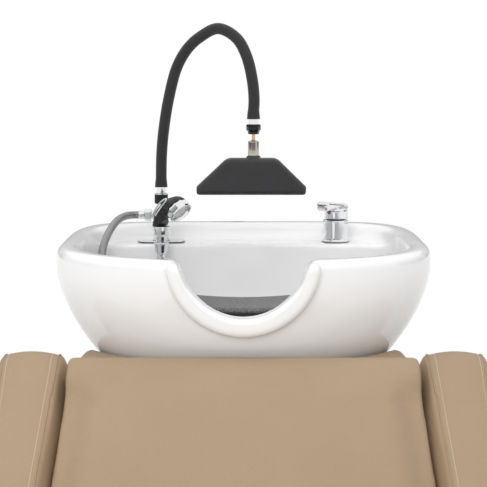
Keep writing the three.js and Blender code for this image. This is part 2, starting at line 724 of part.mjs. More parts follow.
function makeColumn() {
  const plate = roundedRectangle(COLUMN_X - 44, COLUMN_X + 44, COLUMN_Y - 22, COLUMN_Y + 22, 21.5);
  plate.holes.push(circlePath(COLUMN_X, COLUMN_Y, 12));
  add('deck_plate', plateXY(plate, DECK_Z + GAP, DECK_Z + 3.3, 6), 'chrome');

  const strapZ = DECK_Z + 3.6;
  const eye = rod(17, COLUMN_X, COLUMN_Y, strapZ, strapZ + 3.4);
  const strap = block(SHOWER_X - 8, SHOWER_X + 8, SHOWER_Y, COLUMN_Y, strapZ, strapZ + 3.4);
  const cupProfile = [[0, 924], [11.5, 924], [13.5, 940], [13.5, strapZ + 3.4], [0, strapZ + 3.4]];
  const cup = turned(cupProfile, SHOWER_X, SHOWER_Y);
  const bores = [
    rod(10.4, COLUMN_X, COLUMN_Y, strapZ - 5, strapZ + 8),
    turned([[0, 920], [9.5, 920], [9.5, 930], [11.4, 950], [0, 950]], SHOWER_X, SHOWER_Y),
  ];
  add('shower_holder', cut(join(eye, strap, cup), ...bores), 'chrome');

  const post = turned([[0, 890], [10, 890], [10, strapZ + 3.7], [15, strapZ + 3.7], [15, 952], [11, 955],
    [11, 976], [13, 978], [13, 998], [9, 998], [9, 1007], [0, 1007]], COLUMN_X, COLUMN_Y, 0, 20);
  const outlet = lay(rod(7.5, 0, 0, 0, 18, 16)).rotateZ(Math.PI).translate(COLUMN_X, COLUMN_Y, OUTLET_Z);
  const seat = lay(rod(6, 0, 0, 0, 17, 16)).translate(COLUMN_X, COLUMN_Y, OUTLET_Z);
  add('diverter_column', join(post, outlet, seat), 'chrome');
  add('column_nut', nut(19, 10, COLUMN_X, COLUMN_Y, 908, DECK_Z - SHELL - GAP), 'brass');
  const knob = lay(turned([[0, 17.4], [9, 17.4], [10, 20], [10, 30], [8, 32], [0, 32]], 0, 0, 0, 16));
  const wing = lay(block(-3, 3, -12, 12, 28, 38));
  add('diverter_knob', join(knob, wing).translate(COLUMN_X, COLUMN_Y, OUTLET_Z), 'chrome');

  const nutX = COLUMN_X - 18.3;
  const hoseNut = lay(turned([[0, 0], [11.5, 0], [11.5, 13], [8.5, 15], [0, 15]], 0, 0, 0, 6));
  add('hose_nut', hoseNut.rotateZ(Math.PI).translate(nutX, COLUMN_Y, OUTLET_Z), 'chrome');
  const hosePath = [
    [nutX - 15.3, 190, OUTLET_Z], [nutX - 19, 190, OUTLET_Z],
    [-205, 187, OUTLET_Z], [-218, 173, OUTLET_Z], [-230, 154, 984],
    [-240, 135, 974], [-248, 117, 960], [-254, 103, 944], [-257, 92, 924], [-253, 82, 896], [-240, 76, 868],
    [-212, 76, 846], [-178, 92, 852], [-156, 114, 880], [SHOWER_X, 127, 900], [SHOWER_X, SHOWER_Y, 921.5],
  ];
  add('shower_hose', bar(hosePath, 7, 30, 8), 'braid');
}

function makeShower() {
  const collar = turned([[0, 922], [8.6, 922], [8.6, 930], [10.4, 948], [11.4, 956], [14.9, 959.5],
    [15.8, 973.5], [0, 973.5]], SHOWER_X, SHOWER_Y);
  add('shower_collar', collar, 'chrome');

  // Black grip: round sections that grow from the collar into the back of the spray head.
  const facing = new THREE.Vector3(0.62, -0.45, -0.64).normalize();
  const face = new THREE.Vector3(-112, 105, 999.5);
  const grip = [
    [SHOWER_X, SHOWER_Y, 974, 15.6], [SHOWER_X, SHOWER_Y, 983, 14.6], [-151, 126, 993, 12.4],
    [-147, 122, 1002, 10.6], [-141, 119, 1010, 10.4], [-134, 117, 1015.5, 11],
  ];
  const sections = grip.map(([x, y, z, r], i) => {
    const lean = smooth((i - 1) / 4);
    const normal = new THREE.Vector3(0, 0, 1).lerp(facing, lean * 0.5).normalize();
    return disc(new THREE.Vector3(x, y, z), normal, r, 16);
  });
  const stalk = new LoftGeometry(sections, { closed: true, capStart: true, capEnd: true });
  const turn = new THREE.Quaternion().setFromUnitVectors(new THREE.Vector3(0, 0, 1), facing);
  const onHead = (geometry) => geometry.applyQuaternion(turn).translate(face.x, face.y, face.z);
  const back = onHead(turned([[0, -34], [12, -32], [19, -26], [22, -16], [0, -16]], 0, 0, 0, 16));
  const room = onHead(rod(24, 0, 0, -17, 6, 16));
  add('shower_grip', cut(join(stalk, back), room), 'blackPlastic');

  const sprayProfile = [
    [0, -16.7], [21.5, -16.7], [23.5, -12], [23.5, -3], [22, 0], [19, 0], [19, -3], [0, -3],
  ];
  const spray = turned(sprayProfile, 0, 0, 0, 10);
  add('spray_ring', onHead(spray), 'chrome');
  add('spray_face', onHead(rod(17.6, 0, 0, -2.7, -0.6, 16)), 'greyPlastic');

  const trigger = [
    [-165, 118, 996], [-160.5, 115.9, 1007], [-154, 110.5, 1017], [-146, 105.5, 1024], [-139.5, 103, 1026.5],
    [-141, 101.5, 1021], [-148, 104, 1013], [-155, 109.5, 1004], [-161, 114.5, 994.5],
  ];
  add('thumb_lever', bar(trigger, 1.5, 26, 6), 'chrome');
}

// Points around a circle in space, in the right order for a loft that rises along the normal.
function disc(centre, normal, radius, count) {
  const turn = new THREE.Quaternion().setFromUnitVectors(new THREE.Vector3(0, 0, 1), normal);
  const points = [];
  for (let i = 0; i < count; i += 1) {
    const angle = (2 * Math.PI * i) / count;
    const point = new THREE.Vector3(radius * Math.cos(angle), radius * Math.sin(angle), 0);
    points.push(point.applyQuaternion(turn).add(centre));
  }
  return points;
}

// ---------------------------------------------------------------- waterfall arch

function makeArch() {
  const nutProfile = [[0, 1009.3], [12.5, 1009.3], [12.5, 1027], [11.6, 1029], [0, 1029]];
  const lower = turned(nutProfile, COLUMN_X, COLUMN_Y, 0, 16);
  const clearance = rod(9.3, COLUMN_X, COLUMN_Y, 990, 1009.6);
  add('arch_nut', cut(lower, clearance), 'blackPlastic');
  add('arch_ferrule_lower', rod(9, COLUMN_X, COLUMN_Y, 1029 + GAP, 1039.5), 'chrome');

  const path = [
    [COLUMN_X, COLUMN_Y + 2, 1040], [-153, 192, 1098], [-149, 190, 1143], [-139, 184, 1203],
    [-123, 176, 1262], [-104, 165, 1295], [-82, 154, 1316], [-46, 134, 1333], [-13, 117, 1316],
    [5, 107, 1285], [16, 101, 1240], [19, HEAD_Y, 1206], [HEAD_X, HEAD_Y, 1172],
  ];
  add('arch_hose', bar(path, ARCH_RADIUS, 30, 8), 'foamHose');

  add('arch_ferrule_upper', rod(9, HEAD_X, HEAD_Y, 1162.3, 1171.5), 'chrome');
  const shellProfile = [[0, 1144], [10.5, 1144], [10.5, 1150], [13.2, 1152], [13.2, 1162], [0, 1162]];
  const shell = turned(shellProfile, HEAD_X, HEAD_Y, 0, 12);
  const room = rod(6.6, HEAD_X, HEAD_Y, 1130, HEAD_BALL_Z + 6.8, 12);
  add('ball_nut', cut(shell, room), 'blackPlastic');
}

function makeWaterfall() {
  const b = HEAD_BALL_Z;
  const stemProfile = [
    [0, 1134], [3.2, 1134], [3.2, b - 5], [6, b - 2], [6, b + 2], [3.5, b + 5.5], [0, b + 5.5],
  ];
  const stem = turned(stemProfile, HEAD_X, HEAD_Y, 0, 12);
  add('ball_stem', stem, 'brass');
  const bellProfile = [[0, 1106], [10.8, 1106], [9.9, 1129], [7, 1133.7], [0, 1133.7]];
  const bell = turned(bellProfile, HEAD_X, HEAD_Y, 0, 16);
  add('swivel_bell', bell, 'nickel');

  const sideFace = new THREE.Shape();
  const left = -85;
  const right = 113;
  sideFace.moveTo(left + 6, 1036);
  sideFace.lineTo(right - 6, 1036);
  sideFace.quadraticCurveTo(right, 1036, right, 1042);
  sideFace.lineTo(right, 1049);
  sideFace.lineTo(70, 1096);
  sideFace.quadraticCurveTo(64, 1101, 56, 1101);
  sideFace.lineTo(-26, 1101);
  sideFace.quadraticCurveTo(-34, 1101, -40, 1096);
  sideFace.lineTo(left, 1049);
  sideFace.lineTo(left, 1042);
  sideFace.quadraticCurveTo(left, 1036, left + 6, 1036);
  const shell = plateXZ(sideFace, HEAD_Y - 19, HEAD_Y + 19, 3);
  const slot = block(left + 8, right - 8, HEAD_Y - 5, HEAD_Y + 5, 1030, 1062);
  const neck = rod(12, HEAD_X, HEAD_Y, 1098, 1105.7, 20);
  add('waterfall_head', cut(join(shell, neck), slot), 'charcoal');
}

// ---------------------------------------------------------------- neck rest in the bowl

// The pad is hollowed along its length: lowest in the middle, higher at its ends.
const PAD_HALF_WIDTH = 140;
const PAD_MIDDLE_Z = 875.4;
const PAD_RISE = 12;
const PAD_THICKNESS = 41;

function makeNeckRest() {
  const top = (x) => PAD_MIDDLE_Z + PAD_RISE * (x / PAD_HALF_WIDTH) ** 2;
  const upper = [];
  const lower = [];
  const steps = 8;
  for (let i = 0; i <= steps; i += 1) {
    const x = PAD_HALF_WIDTH * ((2 * i) / steps - 1);
    upper.push([x, top(x)]);
    lower.push([x, top(x) - PAD_THICKNESS]);
  }
  const pad = plateXZ(outline([...lower, ...upper.reverse()]), -190, -66);
  add('neck_pad', pad, 'foamPad');

  const tray = block(-136, 136, -186, -70, 822, 832);
  const legs = [[-85, -160, 772], [85, -160, 772], [-85, -95, 748], [85, -95, 748]];
  const pieces = legs.map(([x, y, z]) => block(x - 9, x + 9, y - 9, y + 9, z, 826));
  add('neck_tray', join(tray, ...pieces), 'blackPlastic');
}

makeBase();
makeChair();
makeHousing();
makeTilt();
makeBasin();
makeWaste();
makeSupply();
makeMixer();
makeColumn();
makeShower();
makeArch();
makeWaterfall();
makeNeckRest();

export default unit;
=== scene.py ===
import math

import bpy
import numpy as np
import openvdb
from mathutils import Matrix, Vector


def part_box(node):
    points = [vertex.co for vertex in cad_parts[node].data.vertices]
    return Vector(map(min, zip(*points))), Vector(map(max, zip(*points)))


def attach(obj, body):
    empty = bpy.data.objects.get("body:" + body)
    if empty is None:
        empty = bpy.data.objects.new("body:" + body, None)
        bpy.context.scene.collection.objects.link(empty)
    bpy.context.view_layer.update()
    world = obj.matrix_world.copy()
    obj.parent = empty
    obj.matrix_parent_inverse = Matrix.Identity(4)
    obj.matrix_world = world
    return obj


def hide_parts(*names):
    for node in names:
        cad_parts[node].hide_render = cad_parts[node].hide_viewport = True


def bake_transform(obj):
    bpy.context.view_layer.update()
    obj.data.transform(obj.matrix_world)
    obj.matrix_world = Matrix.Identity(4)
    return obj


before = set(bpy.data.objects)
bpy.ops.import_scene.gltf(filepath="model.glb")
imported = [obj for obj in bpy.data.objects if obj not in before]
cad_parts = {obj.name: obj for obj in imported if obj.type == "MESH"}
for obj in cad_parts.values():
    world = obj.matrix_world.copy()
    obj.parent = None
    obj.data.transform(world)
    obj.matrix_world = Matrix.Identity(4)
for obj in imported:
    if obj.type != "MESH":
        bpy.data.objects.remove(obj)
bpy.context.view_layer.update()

MM = 0.001
rng = np.random.default_rng(7)


# ---------------------------------------------------------------- places taken from the frame (mm)

def node_box(node):
    """Lowest and highest corner of a CAD node, in mm."""
    low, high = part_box(node)
    return np.array(low) / MM, np.array(high) / MM


def node_middle(node):
    low, high = node_box(node)
    return (low + high) / 2


BASIN_LOW, BASIN_HIGH = node_box("basin")
RIM_TOP = BASIN_HIGH[2]
MIXER = node_middle("mixer_body")[:2]
COLUMN = node_middle("column_nut")[:2]
SHOWER = node_middle("shower_collar")[:2]
PIVOT_Y, PIVOT_Z = node_middle("tilt_axle")[1:]
DECK = node_box("deck_plate")[0][2] - 0.3


# ---------------------------------------------------------------- mesh making

def new_piece(name, points, faces, smooth=True, sharp_angle=None, uvs=None):
    """A mesh object from points in mm. uvs lists one (u, v) for each face corner."""
    mesh = bpy.data.meshes.new(name)
    mesh.from_pydata((np.asarray(points, float) * MM).tolist(), [], [list(map(int, f)) for f in faces])
    mesh.polygons.foreach_set("use_smooth", [smooth] * len(mesh.polygons))
    if uvs is not None:
        layer = mesh.uv_layers.new(name="along")
        layer.data.foreach_set("uv", np.asarray(uvs, np.float32).ravel())
    if sharp_angle is not None:
        mesh.set_sharp_from_angle(angle=math.radians(sharp_angle))
    mesh.update()
    piece = bpy.data.objects.new(name, mesh)
    bpy.context.scene.collection.objects.link(piece)
    return piece


def grid_faces(rows, columns, closed=True):
    """Quads of a rows x columns grid whose rows close on themselves."""
    last = columns if closed else columns - 1
    faces = []
    for i in range(rows - 1):
        for j in range(last):
            k = (j + 1) % columns
            faces.append((i * columns + j, i * columns + k, (i + 1) * columns + k, (i + 1) * columns + j))
    return faces


def rounded(corners, arc_steps=5):
    """Replace each corner (r, z, radius) of an open profile by an arc of that radius."""
    points = []
    for i, (r, z, radius) in enumerate(corners):
        here = np.array([r, z], float)
        if radius <= 0 or i in (0, len(corners) - 1):
            points.append(here)
            continue
        before = np.array(corners[i - 1][:2], float) - here
        after = np.array(corners[i + 1][:2], float) - here
        reach = min(radius, 0.45 * np.linalg.norm(before), 0.45 * np.linalg.norm(after))
        start = here + before / np.linalg.norm(before) * reach
        end = here + after / np.linalg.norm(after) * reach
        for t in np.linspace(0, 1, arc_steps + 1):
            points.append((1 - t) ** 2 * start + 2 * t * (1 - t) * here + t ** 2 * end)
    return np.array(points)


def axis_frame(direction):
    """Three unit vectors, the last one along direction."""
    w = np.array(direction, float)
    w /= np.linalg.norm(w)
    helper = np.array([0, 0, 1.0]) if abs(w[2]) < 0.9 else np.array([1.0, 0, 0])
    u = np.cross(helper, w)
    u /= np.linalg.norm(u)
    return u, np.cross(w, u), w


def turned(name, corners, origin, direction=(0, 0, 1), segments=64, ripple=None, sharp=38, turn=0):
    """A turned piece: corners are (radius, height, fillet) along an axis through origin.
    ripple = (count, depth, from_height, to_height) cuts knurls or flutes; turn is in degrees."""
    profile = rounded(corners)
    u, v, w = axis_frame(direction)
    angles = np.linspace(0, 2 * math.pi, segments, endpoint=False) + math.radians(turn)
    points = []
    for r, h in profile:
        radius = np.full(segments, r)
        if ripple and ripple[2] <= h <= ripple[3]:
            radius = radius - ripple[1] * (0.5 - 0.5 * np.cos(ripple[0] * angles))
        ring = np.cos(angles)[:, None] * u + np.sin(angles)[:, None] * v
        points.append(np.array(origin) + radius[:, None] * ring + h * w)
    points = np.concatenate(points)
    faces = grid_faces(len(profile), segments)
    closed = np.allclose(profile[0], profile[-1])
    if closed:
        rows = len(profile) - 1
        points = points[: rows * segments]
        faces = [tuple(k % (rows * segments) for k in face) for face in faces]
    else:
        faces.append(tuple(range(segments))[::-1])
        faces.append(tuple((len(profile) - 1) * segments + j for j in range(segments)))
    return new_piece(name, points, faces, True, sharp)


def spline(points, count):
    """Centripetal Catmull-Rom curve through points, resampled to even steps."""
    p = np.array(points, float)
    p = np.vstack([2 * p[0] - p[1], p, 2 * p[-1] - p[-2]])
    fine = []
    for i in range(1, len(p) - 2):
        knots = [0.0]
        for a, b in ((i - 1, i), (i, i + 1), (i + 1, i + 2)):
            knots.append(knots[-1] + max(np.linalg.norm(p[b] - p[a]), 1e-6) ** 0.5)
        for t in np.linspace(knots[1], knots[2], 30, endpoint=i == len(p) - 3):
            level = [p[i - 1], p[i], p[i + 1], p[i + 2]]
            for width in (1, 2, 3):
                mixed = []
                for j in range(len(level) - 1):
                    low = knots[j + (1 if width == 3 else 0)] if width != 2 else knots[j]
                    high = knots[j + width] if width != 3 else knots[2]
                    share = (t - low) / (high - low)
                    mixed.append((1 - share) * level[j] + share * level[j + 1])
                level = mixed
            fine.append(level[0])
    fine = np.array(fine)
    along = np.concatenate([[0], np.cumsum(np.linalg.norm(np.diff(fine, axis=0), axis=1))])
    even = np.linspace(0, along[-1], count)
    return np.stack([np.interp(even, along, fine[:, k]) for k in range(3)], axis=1), even


def tube(name, path, radius, steps=120, around=24, caps=True):
    """A round hose along a path. radius is a number or a function of (distance, total length)."""
    centre, along = spline(path, steps)
    tangent = np.gradient(centre, axis=0)
    tangent /= np.linalg.norm(tangent, axis=1)[:, None]
    u, v, _ = axis_frame(tangent[0])
    angles = np.linspace(0, 2 * math.pi, around, endpoint=False)
    points = []
    for c, t, s in zip(centre, tangent, along):
        u = u - np.dot(u, t) * t
        u /= np.linalg.norm(u)
        v = np.cross(t, u)
        r = radius(s, along[-1]) if callable(radius) else radius
        points.append(c + r * (np.cos(angles)[:, None] * u + np.sin(angles)[:, None] * v))
    faces = grid_faces(steps, around)
    uvs = []
    for i in range(steps - 1):
        for j in range(around):
            for a, b in ((i, j), (i, j + 1), (i + 1, j + 1), (i + 1, j)):
                uvs.append((b / around, along[a]))
    if caps:
        faces.append(tuple(range(around))[::-1])
        faces.append(tuple((steps - 1) * around + j for j in range(around)))
        uvs.extend([(0, 0)] * (2 * around))
    return new_piece(name, np.concatenate(points), faces, True, 50, uvs)


# ---------------------------------------------------------------- solids as distance fields (mm)

def union(a, b, k):
    """Join two fields with a fillet of about k."""
    h = np.clip(0.5 + 0.5 * (b - a) / k, 0, 1)
    return b * (1 - h) + a * h - k * h * (1 - h)


def common(a, b, k):
    return -union(-a, -b, k)


def without(a, b, k):
    return -union(-a, b, k)


def smoothstep(t):
    t = np.clip(t, 0, 1)
    return t * t * (3 - 2 * t)


def polygon_field(a, b, corners):
    """Signed distance from points (a, b) to a closed polygon, negative inside."""
    corners = np.asarray(corners, float)
    best = np.full(a.shape, 1e9)
    inside = np.zeros(a.shape, bool)
    for (x0, y0), (x1, y1) in zip(corners, np.roll(corners, -1, axis=0)):
        ex, ey = x1 - x0, y1 - y0
        t = np.clip(((a - x0) * ex + (b - y0) * ey) / (ex * ex + ey * ey), 0, 1)
        best = np.minimum(best, (a - x0 - t * ex) ** 2 + (b - y0 - t * ey) ** 2)
        crosses = (y0 > b) != (y1 > b)
        if abs(ey) > 1e-9:
            inside ^= crosses & (a < x0 + ex * (b - y0) / ey)
    return np.where(inside, -1, 1) * np.sqrt(best)


def box_field(x, y, z, low, high):
    """Distance to a box between two corners."""
    low, high = np.array(low, float), np.array(high, float)
    middle, half = (low + high) / 2, (high - low) / 2
    q = [np.abs(c - m) - h for c, m, h in zip((x, y, z), middle, half)]
    outside = np.sqrt(sum(np.maximum(c, 0) ** 2 for c in q))
    return outside + np.minimum(np.maximum(np.maximum(q[0], q[1]), q[2]), 0)


def slope_of(field, p, h=0.05):
    """Gradient of a field at points p."""
    steps = np.eye(3) * h
    parts = [(field(*(p + s).T) - field(*(p - s).T)) / (2 * h) for s in steps]
    return np.stack(parts, axis=1)


def onto_surface(field, p, rounds=4, most=2.0):
    """Move points onto field == 0 along its gradient."""
    p = np.array(p, float)
    for _ in range(rounds):
        g = slope_of(field, p)
        step = field(*p.T)[:, None] * g / np.maximum((g ** 2).sum(1), 1e-6)[:, None]
        length = np.linalg.norm(step, axis=1)[:, None]
        p -= step * np.minimum(1, most / np.maximum(length, 1e-9))
    return p


def carved(name, field, low, high, voxel, sharp=None):
    """A closed mesh of the field's surface inside a box."""
    low = np.array(low, float) - 2 * voxel
    counts = np.ceil((np.array(high, float) + 2 * voxel - low) / voxel).astype(int) + 1
    axes = [low[i] + voxel * np.arange(counts[i]) for i in range(3)]
    values = field(*np.meshgrid(*axes, indexing="ij")).astype(np.float32)
    grid = openvdb.FloatGrid(background=float(voxel * 3))
    grid.copyFromArray(np.clip(values, -voxel * 3, voxel * 3))
    points, quads = grid.convertToQuads(0.0)
    points = onto_surface(field, low + points * voxel, most=voxel)
    piece = new_piece(name, points, quads, True, sharp)
    first = points[quads[:, 0]]
    normal = np.cross(points[quads[:, 1]] - first, points[quads[:, 2]] - first)
    if (first * normal).sum() < 0:
        piece.data.flip_normals()
    return piece


# ---------------------------------------------------------------- ceramic basin

BASIN_CENTRE_Y = -50
HALF_WIDTH, FRONT, BACK = 320, 225, 340
FRONT_POWER = 2.2
NECK_STEEP_FROM = 85
FRONT_RIM_DROP = 2.6


def outline_value(x, y, half, front, back, centre_y, back_power):
    """1 on the outline of a section, less inside, more outside."""
    s = y - centre_y
    power = np.where(s < 0, FRONT_POWER, back_power)
    depth = np.where(s < 0, front, back)
    return (np.abs(x / half) ** power + np.abs(s / depth) ** power) ** (1 / power)


def section_centre(z):
    return BASIN_CENTRE_Y + 45 * smoothstep((770 - z) / 65)


def in_mm(raw, x, y, z, h=0.5):
    """Divide a field by its slope, so that it reads as a distance near its surface."""
    value = raw(x, y, z)
    slope = np.sqrt((raw(x + h, y, z) - value) ** 2 + (raw(x, y + h, z) - value) ** 2
                    + (raw(x, y, z + h) - value) ** 2) / h
    return value / np.maximum(slope, 1e-4)


def outside_raw(x, y, z):
    low = np.clip(934 - z, 0, 234)
    scale = 1 - 3.04e-5 * low ** 1.769
    return outline_value(x, y, HALF_WIDTH, FRONT, BACK, section_centre(z), 4.8) - scale


def bowl_raw(x, y, z):
    depth = np.clip((DECK - z) / 221, 0, None)
    across = outline_value(x, y, HALF_WIDTH - 38, FRONT - 38, 200, section_centre(z), 7)
    return (across ** 2.3 + depth ** 2.6) ** (1 / 2.45) - 1


def recess_raw(x, y, z):
    grow = 10 * smoothstep((z - DECK) / 40)
    across = outline_value(x, y, HALF_WIDTH - 46, FRONT - 42, 286, BASIN_CENTRE_Y, 4.8)
    return across - 1 - grow / 280


def neck_edge(x):
    """Height of the neck opening's edge, a bowl that turns steep towards its top corners."""
    beside = np.clip(np.abs(x) - NECK_STEEP_FROM, 0, 22)
    return 872.5 + 0.0052 * x ** 2 + 1.7e-7 * x ** 4 + 0.042 * beside ** 2


def basin_field(x, y, z):
    """The ceramic: rolled rim, deep bowl, tap ledge, and the neck opening with its raised lip."""
    outside = in_mm(outside_raw, x, y, z)
    from_middle = np.hypot(x, z - 965.5)
    lip = common(from_middle - 123.5, np.abs(y + 251) - 26, 13)
    rim_top = RIM_TOP - FRONT_RIM_DROP * smoothstep((-20 - y) / 160)
    body = common(union(outside, lip, 4), z - rim_top, 20)
    body = common(body, 700 - z, 34)

    bowl = in_mm(bowl_raw, x, y, z)
    ledge = common(in_mm(recess_raw, x, y, z), DECK - z, 18)
    hollow = union(bowl, ledge, 7)
    body = without(body, hollow, 12)

    beside = np.clip(np.abs(x) - NECK_STEEP_FROM, 0, 22)
    below_edge = (neck_edge(x) - z) / np.sqrt(1 + (0.0116 * np.abs(x) + 0.084 * beside) ** 2)
    opening = common(below_edge, y + 190, 6)
    body = without(body, opening, 13)

    body = without(body, np.hypot(x, y) - 24, 3)
    for (hole_x, hole_y), radius in ((MIXER, 17.5), (COLUMN, 12)):
        hole = common(np.hypot(x - hole_x, y - hole_y) - radius, 890 - z, 1)
        body = without(body, hole, 2)

    behind = np.maximum(np.maximum(np.abs(x) - 215, 95 - y), z - DECK + 14)
    skin = np.minimum(outside + 14, np.maximum(z - 790, outside - 30))
    service = common(common(behind, skin, 10), 14 - bowl, 10)
    return without(body, service, 5)


def make_basin():
    low = np.array(BASIN_LOW) - 6
    high = np.array(BASIN_HIGH) + 6
    return carved("ceramic_basin", basin_field, low, high, 3.5)


# ---------------------------------------------------------------- upholstery shapes

def shape_line(*parts):
    """Corners of a profile. A part is a point, or (control, end) of a curve from the last point."""
    points = [np.array(parts[0], float)]
    for part in parts[1:]:
        if len(np.shape(part)) == 1:
            points.append(np.array(part, float))
            continue
        start, control, end = points[-1], np.array(part[0], float), np.array(part[1], float)
        for t in np.linspace(0, 1, 9)[1:]:
            points.append((1 - t) ** 2 * start + 2 * t * (1 - t) * control + t ** 2 * end)
    return np.array(points)


ARM_SIDE = shape_line(
    (-160, 70), (-160, 768), ((-164, 802), (-205, 808)), ((-240, 812), (-262, 796)), (-440, 656),
    ((-480, 626), (-540, 622)), (-900, 610), ((-985, 604), (-992, 530)), (-978, 70),
)
BACKREST_SIDE = shape_line(
    (-276, 762), (-253, 787), ((-252, 811), (-274, 812)), ((-288, 811), (-310, 790)), (-450, 654),
    ((-530, 575), (-570, 486)), (-532, 452), (-484, 424), (-418, 491), (-361, 595), (-290, 672),
)
SEAT_SIDE = shape_line(
    (-1000, 388.3), (-1040, 410), ((-1062, 448), (-1040, 472)), ((-1020, 484), (-960, 484)),
    (-620, 472), ((-580, 468), (-560, 448)), (-540, 388.3),
)


def backrest_half(y):
    return 279 + 12 * smoothstep((-268 - y) / 200)


def arm_inner(y):
    return backrest_half(y) + 3 + 7 * smoothstep((-480 - y) / 120)


ARM_MIDDLE = 345
INNER_GUSSET, OUTER_GUSSET = 17, 11


def arm_field(x, y, z):
    """The arm on the right: a crowned top panel between two seams, and gussets that lean away
    from it on both sides."""
    side = polygon_field(y, z, ARM_SIDE)
    lean = np.clip(1 + side / 38, 0, 1) ** 1.3
    inner = (arm_inner(y) + 0.4 + INNER_GUSSET * lean - x) * 0.92
    outer = (x - 399.6 + OUTER_GUSSET * lean) * 0.95
    crown = 6 * np.clip(((x - ARM_MIDDLE) / 43) ** 2, 0, 1)
    body = common(side + crown, inner, 5)
    return common(body, outer, 6)


def backrest_field(x, y, z):
    side = polygon_field(y, z, BACKREST_SIDE)
    falls = 19 * (1 - smoothstep((backrest_half(y) - np.abs(x)) / 66)) * smoothstep((800 - z) / 50)
    front = smoothstep((-y - z * 0.86 + 390) / 20)
    return common(side + falls * front, np.abs(x) - backrest_half(y), 9)


def seat_field(x, y, z):
    side = polygon_field(y, z, SEAT_SIDE)
    return common(side, np.abs(x) - 287, 22)


def collar_top(y):
    return 797 - 75 * smoothstep((y + 128) / 118)


def collar_plan(x, y, back):
    """Distance to the plan of the collar, whose back corners are round."""
    half = 268 + 11 * np.clip((-100 - y) / 148, 0, 1)
    straight = np.abs(x) - half
    corner_x, corner_y = np.abs(x) - (half - 60), y - (back - 60)
    corner = np.hypot(np.maximum(corner_x, 0), np.maximum(corner_y, 0)) - 60
    return np.where((corner_x > 0) & (corner_y > 0), corner, np.maximum(straight, y - back))


def basin_clearance(x, y, z):
    """Distance to the space that the basin sweeps between its two stops."""
    nearest = None
    for degrees in (-6, -3, 0, 3):
        a = math.radians(-degrees)
        dy, dz = y - PIVOT_Y, z - PIVOT_Z
        turned_y = PIVOT_Y + dy * math.cos(a) - dz * math.sin(a)
        turned_z = PIVOT_Z + dy * math.sin(a) + dz * math.cos(a)
        distance = in_mm(outside_raw, x, turned_y, turned_z)
        distance = np.maximum(distance, 700 - turned_z) - 5
        nearest = distance if nearest is None else np.minimum(nearest, distance)
    return nearest


def collar_field(x, y, z):
    plan = collar_plan(x, y, 205)
    roll = 10 * np.clip(1 + plan / 44, 0, 1) ** 2 - 2
    band = np.maximum(z - collar_top(y) + roll, collar_top(y) - 34 - z) * 0.9
    body = common(band, plan, 8)
    body = common(body, -248 - y, 6)
    middle = box_field(x, y, z, (-172, -140, 500), (172, 119, 900)) - 50
    body = without(body, middle, 6)
    return without(body, basin_clearance(x, y, z), 4)


def housing_field(x, y, z):
    """Upholstered shell behind the chair, open to the front, with a doorway at the back."""
    outer = box_field(x, y, z, (-208, -149, -400), (208, 145, 2000)) - 56
    body = common(outer, (z - collar_top(y) + 34.6) * 0.9, 4)
    body = common(body, 12 - z, 4)
    body = without(body, outer + 12, 2)
    body = without(body, box_field(x, y, z, (-150, 180, 100), (150, 230, 560)), 2)
    body = without(body, box_field(x, y, z, (-222, -300, -50), (222, -185, 950)), 2)
    lock = common(np.hypot(y + 45, z - 648) - 9, 200 - x, 1)
    return without(body, lock, 1)


def front_panel_field(x, y, z):
    bulge = 4 * (1 - (x / 290) ** 2) * (1 - ((z - 221) / 160) ** 2)
    slab = np.abs(y + 979) - 4.5 - np.clip(bulge, 0, 4) * 0.8
    return common(slab, box_field(x, y, z, (-282, -1100, 74), (282, -900, 367.7)) - 4, 8)


# ---------------------------------------------------------------- sewing and stuffing

def cord(name, field, path, radius, lift=0.3, around=8, step=5.0):
    """A thin welt laid along a path on a field's surface."""
    rough = np.array(path, float)
    length = np.linalg.norm(np.diff(rough, axis=0), axis=1).sum()
    line, _ = spline(rough, max(int(length / step), 8))
    line = onto_surface(field, line)
    normal = slope_of(field, line)
    normal /= np.linalg.norm(normal, axis=1)[:, None]
    line = line + normal * lift
    return tube(name, line, radius, len(line), around)


STITCH = [(-1.5, 0.0, 0.0), (-0.9, 0.42, 0.5), (0.9, 0.42, 0.5), (1.5, 0.0, 0.0),
          (0.9, -0.42, 0.5), (-0.9, -0.42, 0.5), (0.0, 0.0, 0.95)]
STITCH_FACES = [(0, 5, 1), (1, 5, 6), (1, 6, 2), (2, 6, 4), (5, 4, 6), (2, 4, 3)]


def stitches(name, field, path, pitch=4.0, length=2.9):
    """A row of thread stitches along a path, each one a short loop that dips at its ends."""
    rough = np.array(path, float)
    total = np.linalg.norm(np.diff(rough, axis=0), axis=1).sum()
    line, along = spline(rough, int(total / 2))
    count = int(along[-1] / pitch)
    at = (np.arange(count) + 0.5) * pitch
    line = np.stack([np.interp(at, along, line[:, k]) for k in range(3)], axis=1)
    line = onto_surface(field, line)
    normal = slope_of(field, line)
    normal /= np.linalg.norm(normal, axis=1)[:, None]
    run = np.gradient(line, axis=0)
    run -= (run * normal).sum(1)[:, None] * normal
    run /= np.linalg.norm(run, axis=1)[:, None]
    side = np.cross(normal, run)
    shape = np.array(STITCH) * (length / 3, 1, 1)
    points, faces = [], []
    for c, u, v, w in zip(line, run, side, normal):
        base = len(points)
        points.extend(c + p[0] * u + p[1] * v + (p[2] - 0.15) * w for p in shape)
        faces.extend(tuple(base + k for k in face) for face in STITCH_FACES)
    return new_piece(name, points, faces, True)


